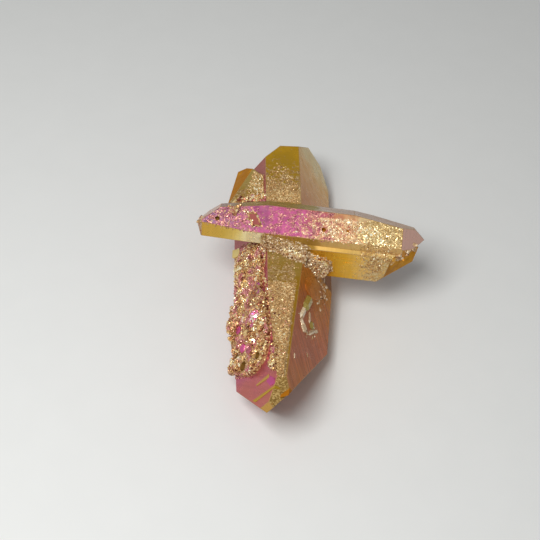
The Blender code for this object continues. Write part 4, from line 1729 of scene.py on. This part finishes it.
RIDGE_DRUSE = Druse("ridge_druse", (
    Sowing(LONG_TOP, ((-2.0, -3.4), (-2.3, 0.95), (-5.5, 0.5), (-8.2, 0.13), (-11.0, -0.26), (-13.6, -0.65),
        (-16.3, -1.05), (-19.1, -1.4), (-19.2, -2.3), (-10.0, -2.95)), 0.19, (0.12, 0.26), (0.3, 0.7), 38.0,
        BEIGE_GRAINS, 41, cover=0.9, drawn_out=2.0),
    Sowing(LONG_TOP, ((-4.0, -3.2), (-5.5, 0.3), (-13.6, -0.8), (-19.0, -1.6), (-19.0, -2.2),
        (-10.0, -2.8)), 0.55, (0.2, 0.4), (0.3, 0.7), 42.0, CRUST_GRAINS, 44, cover=0.6),
    Sowing(LONG_TOP, ((3.6, -3.2), (3.0, 1.6), (-2.4, 0.9), (-2.4, -3.2)), 0.24, (0.12, 0.24), (0.2, 0.5),
        34.0, BEIGE_GRAINS, 42, cover=0.2),
    Sowing(LONG_TOP, ((13.9, -3.2), (13.9, 2.0), (17.6, 1.9), (24.2, -0.8), (19.8, -3.1)), 0.22,
        (0.14, 0.3), (0.3, 0.7), 42.0, BEIGE_GRAINS, 43, thin=(25.2, 15.0)),
    Sowing(LONG_TOP, ((13.9, -3.2), (13.9, 2.0), (16.6, 1.9), (16.6, -3.2)), 0.3, (0.16, 0.34), (0.2, 0.5),
        34.0, GOLD_GRAINS, 45, cover=0.6, thin=(16.8, 14.8)),
))
SADDLE_DRUSE = Druse("saddle_druse", (
    Sowing(LONG_TOP, ((6.8, -4.5), (5.9, -1.2), (4.4, 2.0), (3.1, 3.7), (1.5, 2.6), (1.8, 0.9), (3.2, -1.5),
        (3.9, -3.4), (4.3, -4.7)), 0.22, (0.16, 0.38), (0.3, 0.7), 45.0, SILVER_GRAINS, 51, cover=0.92),
    Sowing(LOWER_FRONT, ((-11.0, -4.0), (-4.4, -3.0), (-4.2, -0.4), (-11.0, -1.0)), 0.23, (0.16, 0.38),
        (0.3, 0.7), 45.0, SILVER_GRAINS, 55, cover=0.92),
    # An arc of cream grains: painted highlight along the saddle.
    Sowing(LONG_TOP, ((3.9, -1.0), (4.1, 0.2), (3.4, 1.3), (2.8, 1.8), (2.3, 1.4), (2.8, 0.8), (3.2, 0.0),
        (3.1, -0.9)), 0.3, (0.26, 0.5), (0.4, 0.8), 45.0, CREAM_HIGHLIGHT_GRAINS, 53, cover=0.8),
    Sowing(LOWER_FRONT, ((-4.9, -2.5), (-3.1, -1.5), (-1.4, -1.3), (-0.4, -0.5), (0.1, 1.2), (-1.4, 2.9),
        (-2.6, 2.9), (-3.5, 1.9), (-4.6, 0.6)), 0.23, (0.16, 0.42), (0.3, 0.7), 45.0, SILVER_GRAINS, 52,
        cover=0.94),
    Sowing(LOWER_FRONT, ((-4.6, -2.2), (-3.0, -1.4), (-1.4, -1.1), (-0.6, 0.8), (-1.6, 2.5), (-3.4, 1.6)),
        0.5, (0.3, 0.5), (0.3, 0.7), 45.0, CREAM_HIGHLIGHT_GRAINS, 54, cover=0.55),
))
SHOULDER_DRUSE = Druse("shoulder_druse", (
    Sowing(SHOULDER_TOP, ((4.6, 1.7), (4.6, 2.8), (3.6, 3.4), (-6.0, 3.6), (-6.0, -1.2), (-2.2, 0.6),
        (1.0, 0.8)), 0.22, (0.14, 0.32), (0.3, 0.7), 42.0, BEIGE_GRAINS, 61, cover=0.85),
    Sowing(SHOULDER_TOP, ((4.3, 1.8), (3.8, 3.2), (-5.6, 3.4), (-5.6, -0.8), (-2.0, 0.9), (1.0, 1.1)), 0.42,
        (0.2, 0.4), (0.3, 0.7), 42.0, CREAM_HIGHLIGHT_GRAINS, 63, cover=0.68),
    Sowing(Face(MAIN, 0, 5.2), ((13.4, -9.2), (16.4, -8.2), (16.4, -3.4), (11.8, -3.4), (11.8, -9.0)), 0.3,
        (0.25, 0.6), (0.4, 0.9), 50.0, CRUST_GRAINS, 62),
))
FROST_DRUSE = Druse("frost_druse", (
    Sowing(LONG_RIGHT, ((-7.0, -4.4), (-7.6, -3.0), (-8.2, -1.2), (-9.6, -1.0), (-9.6, -2.2), (-8.6, -4.0)),
        0.34, (0.25, 0.5), (0.25, 0.6), 40.0, FROST, 92, cover=0.5),
    Sowing(LONG_RIGHT, ((0.8, 0.8), (0.4, 2.8), (-2.4, 2.6), (-2.2, 0.9)), 0.45, (0.2, 0.5), (0.3, 0.6),
        40.0, SILVER_GRAINS, 93, cover=0.5),
    Sowing(LONG_RIGHT, ((2.6, 3.0), (2.0, 4.3), (-1.6, 4.2), (-1.2, 3.0)), 0.45, (0.2, 0.5), (0.3, 0.6),
        40.0, FROST, 94, cover=0.4),
    Sowing(LONG_RIGHT, ((-6.6, 0.2), (-6.2, 2.4), (-7.8, 1.8), (-9.0, 0.2)), 0.4, (0.2, 0.45), (0.25, 0.6),
        40.0, CREAM_HIGHLIGHT_GRAINS, 95, cover=0.5),
    Sowing(LONG_RIGHT, ((4.6, -3.9), (4.4, -2.2), (3.0, -1.9), (2.6, -3.3)), 0.26, (0.16, 0.36), (0.3, 0.7),
        42.0, SILVER_GRAINS, 96, cover=0.6),
    Sowing(LONG_RIGHT, ((4.8, 2.4), (2.2, -0.4), (1.6, 1.0), (2.0, 3.6), (3.6, 4.8)), 0.34, (0.2, 0.42),
        (0.25, 0.5), 36.0, SILVER_GRAINS, 97, cover=0.6),
))
RECESS_BARE = ((-7.9, -1.3, 0.8), (-7.2, -0.3, 0.8), (-13.1, -0.3, 0.5))
PIT_BARE = ((3.0, -0.5, 0.45), (6.6, -0.7, 0.3))
CROSSING_DRUSE = Druse("crossing_druse", (
    Sowing(CROSSING_TOP, ((-15.2, -0.6), (-12.4, -2.2), (-6.6, -2.3), (-4.6, 1.3), (-9.6, 1.5),
        (-15.2, 0.6)), 0.26, (0.12, 0.3), (0.12, 0.4), 30.0, AURORA_GRAINS, 71, cover=0.42,
        bare=RECESS_BARE),
    Sowing(CROSSING_TOP, ((-5.2, -2.9), (4.0, -2.9), (4.0, 1.4), (-5.2, 1.4)), 0.25, (0.12, 0.24),
        (0.12, 0.35), 28.0, PINK_GRAINS, 72, cover=0.4),
    Sowing(CROSSING_TOP, ((-1.6, -2.6), (8.6, -2.4), (8.6, 1.4), (-1.6, 1.4)), 0.27, (0.14, 0.3),
        (0.15, 0.45), 36.0, PEACH_GRAINS, 73, cover=0.55, thin=(-4.0, 7.0), bare=PIT_BARE),
    Sowing(CROSSING_TOP, ((6.4, -2.4), (14.4, -2.0), (14.6, 1.1), (6.4, 1.4)), 0.25, (0.13, 0.28),
        (0.1, 0.26), 22.0, GOLD_GRAINS, 74, cover=0.66, thin=(6.0, 9.0)),
    Sowing(CROSSING_TOP, ((8.2, -1.6), (11.6, -1.7), (12.0, 0.9), (9.8, 1.3), (8.0, 0.4)), 0.42,
        (0.26, 0.52), (0.12, 0.34), 24.0, CREAM_HIGHLIGHT_GRAINS, 75, cover=0.75),
    Sowing(CROSSING_TOP, ((-16.6, -0.9), (-15.4, -1.2), (-15.4, 1.0), (-16.6, 1.0)), 0.42, (0.3, 0.6),
        (0.4, 0.9), 45.0, AURORA_GRAINS, 76),
    Sowing(CROSSING_FRONT, ((-17.9, -2.6), (-16.0, -2.6), (-16.0, 2.4), (-17.7, 2.4)), 0.34, (0.28, 0.5),
        (0.4, 0.9), 40.0, BEIGE_GRAINS, 70, cover=0.8),
    Sowing(CROSSING_FRONT, ((14.4, 0.6), (15.2, -0.4), (17.4, -0.4), (17.4, 1.5), (14.4, 1.9)), 0.42,
        (0.3, 0.6), (0.5, 1.0), 45.0, SILVER_GRAINS, 77, cover=0.75),
    Sowing(CROSSING_FRONT, ((-6.2, -0.2), (-4.4, 0.5), (-2.6, 1.4), (-2.8, 2.4), (-6.4, 2.4)), 0.26,
        (0.16, 0.34), (0.3, 0.6), 38.0, SILVER_GRAINS, 78, cover=0.6),
    Sowing(CROSSING_TOP, ((-11.8, -2.8), (-9.8, -3.0), (-9.6, -1.6), (-11.4, -1.3)), 0.4, (0.3, 0.62),
        (0.4, 0.9), 48.0, CRUST_GRAINS, 79, cover=0.8),
    Sowing(CROSSING_TOP, ((-9.3, -2.1), (-7.6, -2.2), (-5.9, 0.3), (-6.6, 0.6), (-8.0, 0.5)), 0.28,
        (0.18, 0.32), (0.3, 0.6), 42.0, CREAM_HIGHLIGHT_GRAINS, 80, cover=0.6, bare=((-7.9, -1.3, 0.62),
        (-7.2, -0.3, 0.62))),
))
LOWER_DRUSE = Druse("lower_druse", (
    Sowing(LOWER_FRONT, ((3.2, -3.8), (8.6, -4.3), (7.5, -1.8), (6.8, 0.6), (6.4, 2.4), (5.4, 2.4),
        (3.4, 0.2)), 0.21, (0.12, 0.28), (0.3, 0.65), 40.0, BEIGE_GRAINS, 81, cover=0.72, thin=(4.4, 7.6)),
    Sowing(LOWER_TOP, ((3.2, -1.6), (9.2, -1.4), (7.6, 1.4), (3.2, 1.4)), 0.25, (0.14, 0.34), (0.3, 0.65),
        40.0, BEIGE_GRAINS, 83, cover=0.8, thin=(2.0, 5.0)),
    Sowing(LOWER_FRONT, ((5.2, -3.4), (8.2, -3.7), (6.9, 0.4), (5.8, 0.4)), 0.46, (0.2, 0.42), (0.35, 0.7),
        42.0, CREAM_HIGHLIGHT_GRAINS, 82, cover=0.35),
))
DRUSES = (LEFT_DRUSE, RIDGE_DRUSE, SADDLE_DRUSE, SHOULDER_DRUSE, CROSSING_DRUSE, LOWER_DRUSE, FROST_DRUSE)


# ---------------- marks on the right-hand face


@dataclass(frozen=True)
class Spindle:
    """A long crystal half sunk in a face: its ends, width and film."""

    start: Spot
    end: Spot
    width: float
    finish: GrainFinish
    sunk: float = 0.25           # how deep its middle line lies, as a share of its width


@dataclass(frozen=True)
class GrowthMarks:
    """The slender crystals that lie in the lower right face of the long crystal."""

    name: str = "growth_marks"
    face: Face = TIP_RIGHT
    seed: int = 91
    drawn_in: float = 0.45       # width of a spindle's ends as a share of its middle
    taper: float = 0.25          # length of each end at most, as a share of the whole
    spindles: tuple[Spindle, ...] = (
        Spindle((-2.2, -1.2), (-5.8, -2.9), 1.9, CELADON, 0.2),
        Spindle((-5.1, -2.6), (-7.9, -3.8), 1.3, FROST, 0.26),
        Spindle((-8.1, -3.4), (-9.1, -1.8), 1.7, FROST, 0.26),
        Spindle((-7.6, -3.6), (-8.8, -2.6), 1.2, FROST, 0.26),
        Spindle((-4.8, -1.1), (-6.8, -0.8), 0.7, FROST, 0.22),
        Spindle((-5.9, -0.3), (-7.4, 0.3), 1.7, CELADON, 0.3),
        Spindle((-8.7, -0.8), (-6.8, 1.2), 0.8, FROST, 0.2),
        Spindle((-6.8, 1.2), (-6.4, 2.2), 0.6, FROST, 0.22),
        Spindle((2.1, 2.2), (1.4, 2.4), 0.45, FROST, 0.28),
        Spindle((0.2, 1.1), (-0.6, 1.2), 0.45, FROST, 0.28),
        Spindle((-11.8, -0.7), (-12.5, -0.4), 0.35, FROST, 0.26),
        Spindle((-14.2, -4.6), (-15.2, -4.5), 0.4, FROST, 0.26),
    )

    def spindle(self, spindle: Spindle, dice: np.random.Generator) -> Piece:
        """Model one eight-sided spindle with drawn-in ends, sunk in the face.

        Args:
            spindle: its sizes.
            dice: where the tones of its faces come from.

        Returns:
            The spindle.
        """
        start_clean()
        below = self.face.outward() * (spindle.sunk * spindle.width * MM)
        start, end = self.face.on(spindle.start) - below, self.face.on(spindle.end) - below
        length = (end - start).length
        radius = 0.5 * spindle.width * MM
        taper = min(radius, self.taper * length)
        bpy.ops.mesh.primitive_cylinder_add(
            vertices=8, radius=radius, depth=length - 2 * taper, location=(0, 0, 0))
        made = bpy.context.object
        for sign in (1.0, -1.0):
            edit_faces(made, lambda polygon: polygon.normal.z * sign > FACING)
            bpy.ops.mesh.extrude_region_move(TRANSFORM_OT_translate={"value": (0.0, 0.0, sign * taper)})
            bpy.ops.transform.resize(value=(self.drawn_in, self.drawn_in, 1.0))
            bpy.ops.object.mode_set(mode='OBJECT')
        tones = made.data.attributes.new(TONE, 'FLOAT', 'FACE').data
        for number, tone in zip(settled_faces(made), dice.uniform(0.0, 1.0, len(tones))):
            tones[number].value = tone
        stand(made, (start + end) / 2, end - start)
        return made

    def build(self, effects: SharedEffects) -> Piece:
        """Model the spindles, give each its film and join them in one piece.

        Args:
            effects: the shared node groups.

        Returns:
            The piece.
        """
        dice = np.random.default_rng(self.seed)
        parts = []
        for spindle in self.spindles:
            part = self.spindle(spindle, dice)
            part.data.materials.append(shared_material(spindle.finish, effects))
            parts.append(part)
        start_clean()
        for part in parts:
            part.select_set(True)
        bpy.context.view_layer.objects.active = parts[0]
        bpy.ops.object.join()
        made = bpy.context.object
        made.name = self.name
        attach(made, BODY)
        return made


# ---------------- studio


@dataclass(frozen=True)
class Studio:
    """A pale floor, one large soft lamp, a pale room, and the camera, in mm, degrees and watts."""

    target: tuple[float, float, float] = (0.0, 0.0, 13.6)
    distance: float = 164.18
    elevation: float = 49.83
    azimuth: float = 5.77
    roll: float = 6.33
    lens: float = 73.33
    sensor: float = 36.0
    near: float = 0.01
    lamp_place: tuple[float, float, float] = (-75.0, -90.0, 200.0)
    lamp_size: float = 95.0
    lamp_power: float = 0.40
    lamp_tint: Colour = (1.0, 0.985, 0.96)
    room_tint: Colour = (1.0, 0.99, 0.97)
    room: float = 0.26
    reflected_room: float = 0.6  # the pale walls as the shiny faces mirror them
    floor_size: float = 3000.0
    floor_tones: Stops = ((0.0, (0.79, 0.81, 0.812)), (1.0, (0.82, 0.84, 0.842)))
    floor_grain: float = 6.0     # size of the floor's faint patches
    floor_roughness: float = 0.6
    floor_shine: float = 0.2

    def camera(self) -> None:
        """Place the camera and make it the scene's."""
        view = bpy.data.cameras.new("camera")
        view.lens = self.lens
        view.sensor_width = self.sensor
        view.clip_start = self.near
        made = bpy.data.objects.new("camera", view)
        bpy.context.scene.collection.objects.link(made)
        rise, swing = math.radians(self.elevation), math.radians(self.azimuth)
        flat = math.cos(rise)
        forward = Vector((flat * math.sin(swing), flat * math.cos(swing), -math.sin(rise)))
        level = forward.cross(Vector((0.0, 0.0, 1.0))).normalized()
        upright = level.cross(forward)
        roll = math.radians(self.roll)
        right = math.cos(roll) * level + math.sin(roll) * upright
        up = right.cross(forward)
        turn = Matrix((right, up, -forward)).transposed()
        place = (Vector(self.target) - forward * self.distance) * MM
        made.matrix_world = Matrix.Translation(place) @ turn.to_4x4()
        bpy.context.scene.camera = made

    def lamp(self) -> None:
        """Hang the large soft lamp."""
        light = bpy.data.lights.new("softbox", 'AREA')
        light.shape = 'SQUARE'
        light.size = self.lamp_size * MM
        light.energy = self.lamp_power
        light.color = self.lamp_tint
        made = bpy.data.objects.new("softbox", light)
        bpy.context.scene.collection.objects.link(made)
        place = Vector(self.lamp_place) * MM
        turn = (-place).to_track_quat('-Z', 'Y').to_matrix()
        made.matrix_world = Matrix.Translation(place) @ turn.to_4x4()

    def surroundings(self) -> None:
        """Set the room's pale light and how the picture shows colours."""
        world = bpy.data.worlds.new("room")
        world.use_nodes = True
        wiring = Wiring(world.node_tree)
        glow = world.node_tree.nodes["Background"]
        glow.inputs["Color"].default_value = (*self.room_tint, 1.0)
        rays = wiring.add("LightPath")
        strength = wiring.spread(rays.outputs["Is Glossy Ray"], 0.0, 1.0, self.room, self.reflected_room)
        wiring.feed(strength, glow, "Strength")
        bpy.context.scene.world = world
        bpy.context.scene.view_settings.view_transform = 'Standard'

    def floor(self) -> None:
        """Lay the floor."""
        start_clean()
        bpy.ops.mesh.primitive_plane_add(size=self.floor_size * MM, location=(0.0, 0.0, 0.0))
        made = bpy.context.object
        made.name = "floor"
        finish, wiring, shader = new_material("pale_floor")
        grain = wiring.noise(own_millimetres(wiring), self.floor_grain, MORE_LAYERS)
        wiring.feed(wiring.ramp(grain, self.floor_tones), shader, "Base Color")
        set_plain(shader, Roughness=self.floor_roughness, Specular_IOR_Level=self.floor_shine)
        made.data.materials.append(finish)

    def build(self) -> None:
        """Set up everything round the cluster."""
        self.camera()
        self.lamp()
        self.surroundings()
        self.floor()


def report(piece: Piece) -> None:
    """Log a piece's name and how many faces it has."""
    log.info("%s: %d faces", piece.name, len(piece.data.polygons))


def main() -> None:
    """Build the cluster and its surroundings."""
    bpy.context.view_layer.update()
    effects = SharedEffects()
    Studio().build()
    body = CoatedCrystals().build(effects)
    report(body)
    ground = BVHTree.FromObject(body, bpy.context.evaluated_depsgraph_get())
    moulds = MouldBox()
    report(GrowthMarks().build(effects))
    for druse in DRUSES:
        piece = druse.build(ground, moulds)
        druse.dress(piece, effects)
        report(piece)


if __name__ == "__main__":
    logging.basicConfig(level=logging.INFO, format="%(name)s: %(message)s")
    main()
